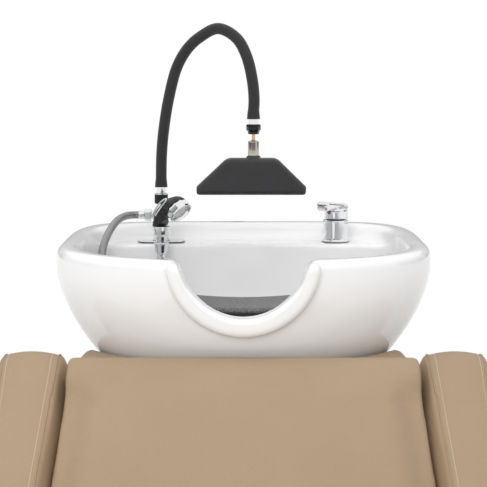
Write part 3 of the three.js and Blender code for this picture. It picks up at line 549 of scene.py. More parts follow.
def stuffed(piece, field, cap, keep, voxel=6.0, pressure=4.0):
    """Swell a cushion by cloth simulation. keep(x, y, z) is the share of the swelling a place may
    show: 0 where the cushion rests on its board."""
    remesh = piece.modifiers.new("even", "REMESH")
    remesh.mode = "VOXEL"
    remesh.voxel_size = voxel * MM
    apply_modifiers(piece)
    rest = vertices_of(piece)
    cloth = piece.modifiers.new("cloth", "CLOTH")
    cloth.settings.use_pressure = True
    cloth.settings.uniform_pressure_force = pressure
    cloth.settings.effector_weights.gravity = 0
    cloth.settings.mass = 0.3
    cloth.point_cache.frame_start = 1
    cloth.point_cache.frame_end = 20
    scene = bpy.context.scene
    for number in range(1, 21):
        scene.frame_set(number)
    apply_modifiers(piece)
    scene.frame_set(1)
    moved = vertices_of(piece)
    push = moved - rest
    length = np.linalg.norm(push, axis=1)[:, None]
    push *= np.minimum(1, cap / np.maximum(length, 1e-6)) * keep(*rest.T)[:, None]
    set_vertices(piece, rest + push)
    detail = piece.modifiers.new("fine", "SUBSURF")
    detail.levels = 1
    apply_modifiers(piece)
    piece.data.polygons.foreach_set("use_smooth", [True] * len(piece.data.polygons))
    return piece


def vertices_of(piece):
    flat = np.zeros(len(piece.data.vertices) * 3, np.float32)
    piece.data.vertices.foreach_get("co", flat)
    return flat.reshape(-1, 3).astype(float) / MM


def set_vertices(piece, points):
    piece.data.vertices.foreach_set("co", (np.asarray(points) * MM).astype(np.float32).ravel())
    piece.data.update()


def apply_modifiers(piece):
    """Replace a piece's mesh by what its modifiers make of it."""
    graph = bpy.context.evaluated_depsgraph_get()
    made = bpy.data.meshes.new_from_object(piece.evaluated_get(graph))
    piece.modifiers.clear()
    piece.data = made


# ---------------------------------------------------------------- materials

def rgb(red, green, blue):
    """Linear colour from 0-255 screen values."""
    parts = []
    for value in (red, green, blue):
        c = value / 255
        parts.append(c / 12.92 if c <= 0.04045 else ((c + 0.055) / 1.055) ** 2.4)
    return (*parts, 1)


class Finish:
    """A procedural material, built up from a plain shader."""

    def __init__(self, name, color, roughness, metallic=0.0, **inputs):
        self.material = bpy.data.materials.new(name)
        self.material.use_nodes = True
        self.nodes = self.material.node_tree.nodes
        self.shader = self.nodes["Principled BSDF"]
        self.color = color
        self.shader.inputs["Base Color"].default_value = color
        self.shader.inputs["Roughness"].default_value = roughness
        self.shader.inputs["Metallic"].default_value = metallic
        for key, value in inputs.items():
            self.shader.inputs[key.replace("_", " ")].default_value = value
        self.place = self.nodes.new("ShaderNodeTexCoord").outputs["Object"]
        self.height = None

    def link(self, source, target):
        self.material.node_tree.links.new(source, target)

    def node(self, kind, sources=None, values=None, **settings):
        made = self.nodes.new("ShaderNode" + kind)
        for key, value in settings.items():
            setattr(made, key, value)
        for key, value in (values or {}).items():
            made.inputs[key].default_value = value
        for key, source in (sources or {}).items():
            self.link(source, made.inputs[key])
        return made

    def math(self, operation, a, b):
        made = self.node("Math", operation=operation)
        for socket, value in zip(made.inputs, (a, b)):
            if isinstance(value, (int, float)):
                socket.default_value = value
            else:
                self.link(value, socket)
        return made.outputs[0]

    def noise(self, scale, detail=4.0, roughness=0.5, stretch=None):
        place = self.place
        if stretch:
            place = self.node("Mapping", {"Vector": place}, {"Scale": stretch}).outputs[0]
        made = self.node("TexNoise", {"Vector": place},
                         {"Scale": scale, "Detail": detail, "Roughness": roughness})
        return made.outputs["Fac"]

    def cells(self, scale, feature="DISTANCE_TO_EDGE"):
        made = self.node("TexVoronoi", {"Vector": self.place}, {"Scale": scale}, feature=feature)
        return made.outputs["Distance"]

    def span(self, source, low, high, to_low, to_high):
        made = self.node("MapRange", {"Value": source},
                         {"From Min": low, "From Max": high, "To Min": to_low, "To Max": to_high})
        return made.outputs[0]

    def mix_color(self, share, first, second):
        made = self.node("Mix", data_type="RGBA")
        self.link(share, made.inputs["Factor"])
        for socket, value in ((made.inputs["A"], first), (made.inputs["B"], second)):
            if isinstance(value, tuple):
                socket.default_value = value
            else:
                self.link(value, socket)
        return made.outputs["Result"]

    def paint(self, source):
        self.link(source, self.shader.inputs["Base Color"])
        return self

    def rough(self, source):
        self.link(source, self.shader.inputs["Roughness"])
        return self

    def relief(self, source, strength, distance):
        """Add a layer of bump. distance is in metres."""
        made = self.node("Bump", {"Height": source}, {"Strength": strength, "Distance": distance})
        if self.height:
            self.link(self.height, made.inputs["Normal"])
        self.height = made.outputs[0]
        self.link(self.height, self.shader.inputs["Normal"])
        return self


def shade(color, factor):
    return tuple(min(c * factor, 1) for c in color[:3]) + (1,)


def make_ceramic():
    f = Finish("glazed_ceramic", (0.9, 0.9, 0.9, 1), 0.07, Coat_Weight=0.5, Coat_Roughness=0.03)
    f.paint(f.mix_color(f.noise(9, 3), (0.895, 0.897, 0.9, 1), (0.91, 0.91, 0.907, 1)))
    f.rough(f.span(f.noise(35, 5), 0.35, 0.7, 0.055, 0.11))
    return f.relief(f.noise(260, 3), 0.012, 0.0001)


def make_leather(name="beige_leather", color=rgb(171, 147, 120)):
    f = Finish(name, color, 0.5, Specular_IOR_Level=0.42)
    tone = f.mix_color(f.span(f.noise(5, 5, 0.6), 0.3, 0.7, 0, 1), shade(color, 0.95), shade(color, 1.04))
    # The grain's creases are painted darker, as painted shade in the creases; the same cells also give the creases
    # their bump.
    creases = f.span(f.cells(620), 0.0, 0.12, 0.0, 1.0)
    f.paint(f.mix_color(creases, shade(color, 0.86), tone))
    f.rough(f.span(f.noise(60, 6, 0.6), 0.3, 0.7, 0.43, 0.56))
    f.relief(f.noise(14, 3), 0.25, 0.0012)
    f.relief(creases, 0.3, 0.00012)
    return f.relief(f.noise(1400, 4), 0.2, 0.00008)


def make_thread():
    f = Finish("stitching_thread", rgb(226, 214, 198), 0.6, Sheen_Weight=0.3)
    f.paint(f.mix_color(f.noise(900, 2), rgb(206, 190, 170), rgb(238, 228, 214)))
    return f.relief(f.noise(2500, 2), 0.5, 0.0001)


def make_metal(name, color, low, high, scratches=0.02, brushed=None):
    f = Finish(name, color, low, 1.0)
    smudge = f.noise(38, 6, 0.62)
    f.rough(f.span(smudge, 0.35, 0.75, low, high))
    f.paint(f.mix_color(smudge, color, shade(color, 0.93)))
    if brushed:
        f.relief(f.noise(260, 4, 0.6, brushed), scratches, 0.0002)
    else:
        f.relief(f.noise(420, 3), scratches, 0.00004)
    return f


def make_painted(name, color, roughness, grain=900, strength=0.25):
    f = Finish(name, color, roughness)
    f.paint(f.mix_color(f.span(f.noise(11, 5, 0.6), 0.3, 0.7, 0, 1), shade(color, 0.88), shade(color, 1.1)))
    f.rough(f.span(f.noise(45, 5, 0.6), 0.3, 0.7, roughness - 0.07, roughness + 0.08))
    return f.relief(f.noise(grain, 3), strength, 0.00012)


def make_speckled(name, dark, light, roughness, scale, relief):
    """Foamed rubber: fine pores with a light and dark speckle."""
    f = Finish(name, dark, roughness, Sheen_Weight=0.15)
    speck = f.span(f.noise(scale, 3, 0.75), 0.36, 0.64, 0, 1)
    f.paint(f.mix_color(speck, dark, light))
    pores = f.span(f.cells(scale * 0.8, "F1"), 0.0, 0.7, 0.0, 1.0)
    f.relief(f.noise(scale * 0.35, 4), 0.3, 0.0004)
    return f.relief(pores, relief, 0.00025)


def make_braid():
    """Interlocked steel hose: a wound strip with a crossing weave, laid out along the hose."""
    f = Finish("steel_braid", (0.62, 0.62, 0.63, 1), 0.24, 1.0)
    uv = f.node("UVMap", uv_map="along").outputs[0]
    parts = f.node("SeparateXYZ", {"Vector": uv})
    around = f.math("MULTIPLY", parts.outputs[0], 2 * math.pi * 9)
    along = f.math("MULTIPLY", parts.outputs[1], 2 * math.pi / 3.1)
    first = f.math("SINE", f.math("ADD", around, along), 0)
    second = f.math("SINE", f.math("SUBTRACT", around, along), 0)
    weave = f.span(f.math("MAXIMUM", first, second), -0.2, 1.0, 0.0, 1.0)
    f.paint(f.mix_color(weave, (0.07, 0.07, 0.075, 1), (0.66, 0.66, 0.67, 1)))
    f.rough(f.span(weave, 0, 1, 0.5, 0.2))
    return f.relief(weave, 0.6, 0.0008)


def make_plywood():
    f = Finish("birch_plywood", rgb(190, 150, 104), 0.6)
    grain = f.noise(9, 6, 0.65, (1, 14, 30))
    layers = f.node("TexWave", {"Vector": f.place}, {"Scale": 55.0, "Distortion": 0.6}, bands_direction="Z")
    wood = f.mix_color(grain, rgb(168, 126, 82), rgb(206, 170, 124))
    f.paint(f.mix_color(f.span(layers.outputs["Fac"], 0, 1, 0, 0.35), wood, rgb(120, 84, 52)))
    return f.relief(grain, 0.3, 0.0004)


FINISHES = {
    "ceramic": make_ceramic(),
    "leather": make_leather(),
    "thread": make_thread(),
    "chrome": make_metal("chrome_plate", (0.86, 0.87, 0.88, 1), 0.035, 0.10),
    "steel": make_metal("brushed_steel", (0.56, 0.57, 0.58, 1), 0.28, 0.42, 0.25, (1, 12, 1)),
    "dark_steel": make_painted("black_powder_coat", (0.022, 0.023, 0.025, 1), 0.48, 700, 0.35),
    "brass": make_metal("turned_brass", (0.66, 0.46, 0.20, 1), 0.18, 0.34, 0.1, (1, 1, 9)),
    "nickel": make_metal("satin_nickel", (0.52, 0.49, 0.44, 1), 0.10, 0.16, 0.03, (1, 1, 9)),
    "braid": make_braid(),
    "pale_plastic": make_painted("pale_spray_plastic", rgb(222, 222, 218), 0.35, 1300, 0.15),
    "black_chrome": make_metal("black_chrome", (0.035, 0.035, 0.04, 1), 0.10, 0.2),
    "charcoal": make_painted("charcoal_plastic", rgb(43, 43, 45), 0.44, 1100, 0.3),
    "hose_foam": make_speckled("foam_rubber_hose", rgb(24, 24, 26), rgb(42, 42, 44), 0.66, 900, 0.25),
    # Two copies of one speckled foam: the top one painted lighter as painted light on the pad's lit top, the one
    # below painted darker as painted shade on its front face.
    "pad_foam": make_speckled("speckled_pad", rgb(56, 57, 58), rgb(128, 129, 128), 0.8, 420, 0.3),
    "pad_base": make_speckled("pad_foam_painted_shade", rgb(31, 31, 32), rgb(53, 53, 54), 0.75, 500, 0.25),
    "black_plastic": make_painted("black_plastic", (0.018, 0.018, 0.020, 1), 0.33, 1500, 0.15),
    "grey_plastic": make_painted("grey_plastic", rgb(176, 177, 177), 0.4, 1500, 0.15),
    "white_plastic": make_painted("white_plastic", rgb(228, 228, 226), 0.42, 1200, 0.15),
    "plywood": make_plywood(),
    "red_enamel": make_painted("red_enamel", rgb(196, 34, 38), 0.25, 1500, 0.05),
    "blue_enamel": make_painted("blue_enamel", rgb(38, 84, 178), 0.25, 1500, 0.05),
}


def dress(piece, finish, body=None, *nodes):
    """Give a piece its finish, the body it rides on and the CAD nodes it stands for."""
    piece.data.materials.clear()
    piece.data.materials.append(FINISHES[finish].material)
    if body:
        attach(piece, body)
    if nodes:
        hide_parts(*nodes)
    return piece


# ---------------------------------------------------------------- upholstery

def mirrored(field):
    return lambda x, y, z: field(-x, y, z)


def flipped(path):
    return np.array(path) * (-1, 1, 1)


def sew(name, field, path, body, mirror=False):
    """A welt on a seam."""
    if mirror:
        field, path = mirrored(field), flipped(path)
    dress(cord(name, field, path, 1.5), "leather", body)


def topstitch(name, field, path, body, mirror=False):
    if mirror:
        field, path = mirrored(field), flipped(path)
    dress(stitches(name, field, path), "thread", body)


def make_arms():
    edge = ARM_SIDE[::-1]
    inner_seam = [(arm_inner(y) + INNER_GUSSET + 0.5, y, z) for y, z in edge]
    outer_seam = [(399 - OUTER_GUSSET, y, z) for y, z in edge]
    inner_stitch = [(arm_inner(y) + INNER_GUSSET + 9, y, z) for y, z in edge]
    outer_stitch = [(399 - OUTER_GUSSET - 8, y, z) for y, z in edge]
    for name, sign in (("arm_left", -1), ("arm_right", 1)):
        left = sign < 0
        field = mirrored(arm_field) if left else arm_field
        span = sorted((sign * 280, sign * 402))
        low, high = (span[0], -996, 68), (span[1], -156, 814)
        panel = carved(name + "_panel", field, low, high, 5)
        dress(panel, "leather", "chair", name)
        sew(name + "_inner_welt", arm_field, inner_seam, "chair", left)
        sew(name + "_outer_welt", arm_field, outer_seam, "chair", left)
        topstitch(name + "_inner_stitches", arm_field, inner_stitch, "chair", left)
        topstitch(name + "_outer_stitches", arm_field, outer_stitch, "chair", left)


def make_backrest():
    low, high = (-294, -575, 420), (294, -250, 812)
    cushion = carved("backrest_cover", backrest_field, low, high, 7)

    def faces_client(x, y, z):
        """1 on the front of the backrest, 0 on its back and near the arms."""
        front = smoothstep((-y - z * 0.86 + 377) / 60)
        return front * smoothstep((backrest_half(y) - np.abs(x)) / 40)

    stuffed(cushion, backrest_field, 5, faces_client)
    dress(cushion, "leather", "chair", "backrest_cushion")


def make_seat():
    low, high = (-290, -1060, 386), (290, -538, 487)
    cushion = carved("seat_cover", seat_field, low, high, 7)

    def above_board(x, y, z):
        return smoothstep((z - 400) / 50) * smoothstep((289 - np.abs(x)) / 40)

    stuffed(cushion, seat_field, 12, above_board)
    dress(cushion, "leather", "chair", "seat_cushion")


def make_collar():
    low, high = (-282, -250, 680), (282, 208, 800)
    collar = carved("collar_cover", collar_field, low, high, 4)
    dress(collar, "leather", "chair", "collar")


def make_housing():
    low, high = (-268, -208, 10), (268, 206, 766)
    shell = carved("housing_cover", housing_field, low, high, 4, 40)
    dress(shell, "leather", "chair", "housing")


def make_front_panel():
    low, high = (-288, -992, 68), (288, -968, 374)
    panel = carved("front_panel_cover", front_panel_field, low, high, 4)
    dress(panel, "leather", "chair", "front_panel")


dress(make_basin(), "ceramic", "basin", "basin")
make_arms()
make_backrest()
make_seat()
make_collar()
make_housing()
make_front_panel()


# ---------------------------------------------------------------- mixer tap

def fitting(name, finish, body, nodes, corners, origin, direction=(0, 0, 1), **options):
    return dress(turned(name, corners, origin, direction, **options), finish, body, *nodes)


def along_axis(x, y, z, origin, direction):
    """Height along an axis and distance from it."""
    u, v, w = axis_frame(direction)
    d = [x - origin[0], y - origin[1], z - origin[2]]
    height = sum(a * b for a, b in zip(d, w))
    side = sum(a * b for a, b in zip(d, u))
    other = sum(a * b for a, b in zip(d, v))
    return height, side, other


HANDLE_SIDE = shape_line(
    (6, 1001.5), (-16, 1001), (-37, 996.5), ((-43, 998), (-42.5, 1008)), ((-42, 1014), (-34, 1014.5)),
    (16, 1008), (20, 1003),
)
HANDLE_TURN = math.radians(43)


def lever_field(x, y, z):
    """Lever with its own dome, a hood behind it and a thick handle that points forward and left."""
    dx, dy = x - MIXER[0], y - MIXER[1]
    own_x = dx * math.cos(HANDLE_TURN) - dy * math.sin(HANDLE_TURN)
    own_y = dx * math.sin(HANDLE_TURN) + dy * math.cos(HANDLE_TURN)
    r = np.hypot(dx, dy)
    dome = common(r - 21.6, z - 1003 + r ** 2 / 130, 5)
    hood = common(common(r - 23.5, 7 - own_y, 2), z - 1007.5 + r ** 2 / 260, 4)
    width = 15.5 - 0.1 * np.clip(-own_y - 10, 0, 40)
    handle = common(polygon_field(own_y, z, HANDLE_SIDE), np.abs(own_x) - width, 5)
    body = union(np.minimum(dome, hood), handle, 1.5)
    body = common(body, 981 - z, 0.8)
    room = common(r - 19.8, z - 992, 1)
    return without(body, room, 0.5)


def make_mixer():
    axis = (*MIXER, 0)
    fitting("mixer_shell", "chrome", "basin", ["mixer_body"], [
        (15.8, 898, 0), (15.8, 937.5, 0.2), (25.0, 937.5, 0.3), (25.4, 938.6, 0.6), (25.4, 940.3, 1.2),
        (23.9, 941.8, 1.0), (23.4, 944, 1.0), (23.4, 977, 1.2), (22.4, 978.4, 0.7), (18, 978.4, 0.6),
        (17.4, 966, 0)], axis)
    fitting("mixer_gasket", "black_plastic", "basin", [], [
        (16.5, 937, 0), (25.9, 937, 0), (25.9, 938.1, 0.3), (16.5, 938.1, 0)], axis)
    fitting("mixer_cartridge_core", "black_plastic", "mixer_swivel", ["mixer_cartridge"], [
        (16.9, 966, 0), (16.9, 986, 0.6), (15.5, 988, 0.6), (6, 988, 0)], axis, ripple=(16, 0.8, 979, 987))
    x, y = MIXER
    lever = carved("mixer_lever_body", lever_field, (x - 46, y - 46, 980), (x + 26, y + 26, 1016), 1.1)
    dress(lever, "chrome", "mixer_lever", "mixer_lever")
    make_temperature_dot()


def make_temperature_dot():
    """Half red, half blue: the only marking, and a generic one."""
    centre = np.array([MIXER[0] - 13.5, MIXER[1] - 16.9, 994.4])
    out = np.array([-0.62, -0.78, 0.12])
    out /= np.linalg.norm(out)
    up = np.array([0, 0, 1]) - out * out[2]
    up /= np.linalg.norm(up)
    right = np.cross(up, out)
    for name, finish, sign in (("hot", "red_enamel", -1), ("cold", "blue_enamel", 1)):
        points = [centre + out * 0.9]
        for height, radius in ((0.75, 2.6), (0.3, 4.0), (-1.2, 4.3)):
            for angle in np.linspace(-math.pi / 2, math.pi / 2, 13):
                flat = sign * math.cos(angle) * right + math.sin(angle) * up
                points.append(centre + flat * radius + out * height)
        faces = [(0, 1 + i, 2 + i) for i in range(12)]
        for ring_start in (1, 14):
            faces += [(ring_start + i, ring_start + 13 + i, ring_start + 14 + i, ring_start + 1 + i)
                      for i in range(12)]
        faces.append(tuple(27 + i for i in range(13)))
        faces.append((0, 13, 26, 39, 27, 14, 1))
        dress(new_piece("temperature_dot_" + name, points, faces, True, 50), finish, "mixer_lever")


# ---------------------------------------------------------------- column, deck plate and holder

def stadium(x, y, half_length, half_width):
    reach = half_length - half_width
    return np.hypot(np.maximum(np.abs(x) - reach, 0), y) - half_width


def deck_plate_field(x, y, z):
    u, v = x - COLUMN[0], y - COLUMN[1]
    plate = common(stadium(u, v, 44, 21.5), np.abs(z - 939.4) - 0.9, 0.6)
    plate = without(plate, np.hypot(u, v) - 12, 0.5)
    slots = stadium(np.abs(u) - 24.5, v, 9.5, 2.6)
    return without(plate, slots, 0.6)


def holder_field(x, y, z):
    """Flat strap from the column to the cone-shaped cup that the hand shower stands in."""
    strap_z = np.abs(z - 942.3) - 1.7
    from_column = np.hypot(x - COLUMN[0], y - COLUMN[1])
    from_cup = np.hypot(x - SHOWER[0], y - SHOWER[1])
    eye = common(from_column - 17, strap_z, 1)
    strap = common(np.maximum(np.abs(x - SHOWER[0]) - 8, np.abs(y - 159) - 31), strap_z, 1)
    wall = from_cup - 11.5 - 2 * np.clip((z - 924) / 16, 0, 1)
    cup = common(wall, np.abs(z - 934) - 10, 1.2)
    body = union(np.minimum(eye, strap), cup, 2)
    body = without(body, from_column - 10.4, 0.4)
    bore = from_cup - 9.5 - 1.9 * np.clip((z - 930) / 20, 0, 1)
    return without(body, bore, 0.6)


def make_column():
    x, y = COLUMN
    plate = carved("deck_plate_body", deck_plate_field, (x - 45, y - 23, 937), (x + 45, y + 23, 941), 0.9)
    dress(plate, "chrome", "basin", "deck_plate")

    def gasket(px, py, pz):
        shape = common(stadium(px - x, py - y, 44.3, 21.8), np.abs(pz - 937.6) - 1.1, 0.2)
        return without(shape, np.hypot(px - x, py - y) - 12, 0.2)

    under = carved("deck_plate_gasket", gasket, (x - 45, y - 23, 936), (x + 45, y + 23, 938.2), 0.9)
    dress(under, "black_plastic", "basin")

    sx, sy = SHOWER
    holder = carved("shower_holder_body", holder_field, (sx - 22, sy - 15, 923), (sx + 17, y + 18, 945), 1.2)
    dress(holder, "chrome", "basin", "shower_holder")

    axis = (x, y, 0)
    fitting("diverter_column_body", "chrome", "basin", ["diverter_column"], [
        (10, 890, 0), (10, 944.4, 0.2), (15, 944.4, 0.5), (15, 950.6, 1.6), (11.2, 954, 1.6), (11, 975, 1.2),
        (13, 978.4, 1), (13, 997.4, 1.4), (9, 998, 0.5), (9, 1009, 0)], axis)
    fitting("diverter_outlet", "chrome", "basin", [], [
        (7.4, 6, 0), (7.4, 13.5, 0.6), (8.6, 14, 0.4), (8.6, 17.6, 0.5), (6, 18, 0)], (x, y, 988), (-1, 0, 0))
    fitting("diverter_seat", "black_plastic", "basin", [], [
        (6.4, 6, 0), (6.4, 17.2, 0.3), (3, 17.2, 0)], (x, y, 988), (1, 0, 0))
    fitting("diverter_knob_body", "chrome", "diverter_knob", ["diverter_knob"], [
        (4, 17.4, 0), (9, 17.4, 0.6), (10, 20, 0.8), (10, 30, 1.0), (8, 32, 1.0), (3.2, 32.6, 0.6),
        (3.0, 38, 0.8), (1, 38, 0)], (x, y, 988), (1, 0, 0), ripple=(12, 0.9, 20.5, 29.5))

    def wing(px, py, pz):
        shape = box_field(px, py, pz, (x + 30, y - 11, 986), (x + 37, y + 11, 990)) - 0.9
        return shape

    blade = carved("diverter_wing", wing, (x + 28, y - 13, 984), (x + 39, y + 13, 992), 0.9)
    dress(blade, "chrome", "diverter_knob")

    end = x - 18.3
    fitting("hose_nut_body", "chrome", "basin", ["hose_nut"], [
        (8, 0, 0), (10.9, 0, 0.6), (11.6, 1.2, 0.4), (11.6, 11.6, 0.4), (10.9, 12.8, 0.6), (8.6, 13.2, 0.5),
        (8.2, 15.2, 0.5), (6, 15.2, 0)], (end, y, 988), (-1, 0, 0), segments=6, sharp=20, turn=30)


# ---------------------------------------------------------------- hand shower

FACING = np.array([0.62, -0.45, -0.64])
FACING = FACING / np.linalg.norm(FACING)
FACE = np.array([-112, 105, 999.5])
GRIP = [
    (-151, 128, 970, 15.6), (-151, 128, 976, 15.5), (-151.4, 127.6, 983, 13.4), (-152.4, 126.4, 990, 11.0),
    (-150.5, 124.5, 997, 10.0), (-146.5, 121.5, 1003.5, 9.8), (-141, 119, 1010, 10.0), (-134, 117, 1015.5, 11),
]
HEAD_BACK = [(-9, -34), (9, -33.6), (15, -30.5), (19.5, -25), (22, -16.9), (-9, -16.9)]


def grip_field(x, y, z):
    """Black moulded grip: waisted above its foot, then bent over into the back of the spray head."""
    body = None
    for (x0, y0, z0, r0), (x1, y1, z1, r1) in zip(GRIP, GRIP[1:]):
        run = np.array([x1 - x0, y1 - y0, z1 - z0])
        t = np.clip(((x - x0) * run[0] + (y - y0) * run[1] + (z - z0) * run[2]) / (run @ run), 0, 1)
        away = np.sqrt((x - x0 - t * run[0]) ** 2 + (y - y0 - t * run[1]) ** 2 + (z - z0 - t * run[2]) ** 2)
        part = away - r0 - (r1 - r0) * t
        body = part if body is None else union(body, part, 3)
    height, side, other = along_axis(x, y, z, FACE, FACING)
    back = polygon_field(np.hypot(side, other), height, HEAD_BACK) - 0.1
    body = union(body, back, 7)
    body = common(body, height + 16.9, 0.8)
    return common(body, 974.2 - z, 1.2)


def make_hand_shower():
    axis = (*SHOWER, 0)
    fitting("shower_collar_body", "chrome", "hand_shower", ["shower_collar"], [
        (6, 921.8, 0), (8.6, 922, 0.6), (8.6, 930, 1), (10.4, 948, 0.5), (11.3, 955.6, 1.6), (14.8, 959.2, 1.2),
        (15.7, 966, 1), (15.8, 973.8, 0.6), (13, 974, 0)], axis)
    fitting("shower_collar_line", "black_plastic", "hand_shower", [], [
        (9.6, 943.2, 0), (10.5, 943.2, 0.2), (10.6, 944.2, 0.2), (9.6, 944.2, 0)], axis)
    fitting("shower_hose_socket", "chrome", "hand_shower", [], [
        (5, 903, 0), (7.6, 903, 0.6), (7.9, 905, 0.5), (7.9, 918, 0.6), (7.2, 922, 0.5), (5, 922, 0)],
        (SHOWER[0], SHOWER[1] - 0.6, 0))

    low, high = (-170, 85, 972), (-98, 146, 1032)
    grip = carved("shower_grip_body", grip_field, low, high, 1.5)
    dress(grip, "black_plastic", "hand_shower", "shower_grip")

    fitting("spray_ring_body", "chrome", "spray_head", ["spray_ring"], [
        (12, -16.6, 0), (21.2, -16.6, 0.6), (23.4, -12.4, 0.8), (23.5, -3, 0.8), (22.4, -0.1, 0.6),
        (20.6, -0.1, 0.5), (18.8, -6.6, 0)], FACE, FACING, segments=10, sharp=12)
    fitting("spray_face_body", "pale_plastic", "spray_head", ["spray_face"], [
        (10, -7.6, 0), (17.6, -7.6, 0.3), (17.6, -5.8, 0.7), (16, -5.1, 0.6), (3, -4.8, 0)], FACE, FACING)
    make_nozzles()

    u, v, w = axis_frame(FACING)
    near = -np.array([0, 1, 0]) + 0.45 * w
    near /= np.linalg.norm(near)
    beside = np.cross(w, near)
    beside *= -np.sign(beside[0])
    spot = FACE + 22.6 * (-0.8 * near + 0.6 * beside) - 4 * w
    outward = -0.8 * near + 0.6 * beside
    fitting("spray_knob", "chrome", "spray_head", [], [
        (1.2, -1.5, 0), (2.6, -1.5, 0.2), (2.8, 1.6, 0.9), (1.4, 3.2, 0.8), (0.4, 3.3, 0)], spot, outward,
        segments=24)

    wire = [
        (-165, 118, 996), (-160.5, 115.9, 1007), (-154, 110.5, 1017), (-146, 105.5, 1024), (-140, 102.8, 1026.8),
        (-141.8, 101.1, 1021.6), (-148.6, 103.6, 1013.4), (-155, 109.5, 1004), (-161, 114.5, 994.5),
    ]
    loop = tube("thumb_lever_wire", wire, 1.5, 90, 16)
    dress(loop, "chrome", "thumb_lever", "thumb_lever")


def make_nozzles():
    """Rubber nozzles in three rings on the spray face."""
    u, v, w = axis_frame(FACING)
    points, faces = [], []
    for ring_radius, count in ((0, 1), (5, 6), (9.5, 12), (14, 18)):
        for i in range(count):
            angle = 2 * math.pi * i / count
            centre = FACE + ring_radius * (math.cos(angle) * u + math.sin(angle) * v) - 5.2 * w
            base = len(points)
            for radius, height in ((0.95, 0), (0.8, 0.9), (0.45, 1.2)):
                for k in range(8):
                    turn = 2 * math.pi * k / 8
                    points.append(centre + radius * (math.cos(turn) * u + math.sin(turn) * v) + height * w)
            faces += [tuple(base + n for n in face) for face in grid_faces(3, 8)]
            faces.append(tuple(base + 16 + k for k in range(8)))
            faces.append(tuple(base + k for k in range(8))[::-1])
    nozzles = new_piece("spray_nozzles", points, faces, True, 50)
    dress(nozzles, "pale_plastic", "spray_head")


# ---------------------------------------------------------------- hoses

def blend_hose(piece, finish, node):
    dress(piece, finish, None, node)
    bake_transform(piece)


def make_hoses():
    x, y = COLUMN
    end = x - 33.6
    shower_path = [
        (end + 2, 190, 988), (end - 3.7, 190, 988), (-205, 187, 988), (-218, 173, 988), (-230, 154, 984),
        (-240, 135, 974), (-248, 117, 960), (-254, 103, 944), (-257, 92, 924), (-253, 82, 896), (-240, 76, 868),
        (-212, 76, 846), (-178, 92, 852), (-156, 114, 880), (-151, 127, 900), (-151, 128, 920),
    ]
    shower = tube("shower_hose_braid", shower_path, 7, 260, 32)
    blend_hose(shower, "braid", "shower_hose")
    fitting("shower_hose_ferrule", "chrome", "basin", [], [
        (6, -2, 0), (7.6, -2, 0.3), (7.9, 8, 0.6), (7.2, 9, 0.4), (6, 9, 0)], (end, 190, 988), (-1, 0, 0))

    for index, (name, foot) in enumerate((("hot", 80), ("cold", 135))):
        start = MIXER[0] - 8 + 16 * index
        path = [(start, 195, 895), (start - 4, 190, 840), (start - 10, 162, 768), (start - 14, 150, 600),
                (foot + 10, 132, 240), (foot, 120, 70.5)]
        hose = tube("supply_hose_%s_braid" % name, path[::-1], 5, 260, 20)
        blend_hose(hose, "braid", "supply_hose_" + name)

    mixed = [(173, 207, 895), (161, 214, 872), (120, 216, 858), (0, 216, 852), (-110, 214, 858),
             (-154, 203, 866), (-154, 190, 882), (-154, 190, 889.5)]
    dress(tube("mixed_hose_braid", mixed, 5, 200, 20), "braid", "basin", "mixed_hose")

    def corrugated(s, total):
        return 14.7 + 0.8 * math.cos(2 * math.pi * s / 6.5)

    waste = [(0, 104, 44), (0, 110, 220), (0, 118, 420), (0, 112, 530), (0, 94, 554), (0, 74, 560), (0, 66.3, 560)]
    hose = tube("waste_hose_corrugated", waste, corrugated, 560, 28)
    blend_hose(hose, "grey_plastic", "waste_hose")


# ---------------------------------------------------------------- waterfall arch

HEAD_SIDE = shape_line(
    (-85, 1042), ((-85, 1035), (-79, 1035)), (107, 1035), ((113, 1035), (113, 1042)), (113, 1049),
    (65, 1096), ((59, 1101), (51, 1101)), (-21, 1101), ((-29, 1101), (-35, 1096)), (-85, 1049),
)
HEAD = (18, 100)


def waterfall_field(x, y, z):
    side = polygon_field(x, z, HEAD_SIDE)
    shell = common(side, np.abs(y - HEAD[1]) - 19, 10)
    around = np.hypot(x - HEAD[0], y - HEAD[1])
    neck = common(around - 11.2 - 0.55 * np.clip(1105.7 - z, 0, 7), z - 1105.6, 1.2)
    neck = common(neck, 1090 - z, 1)
    body = union(shell, neck, 1.5)
    slot = box_field(x, y, z, (-76, 95.5, 1000), (104, 104.5, 1061))
    return without(body, slot, 1.2)


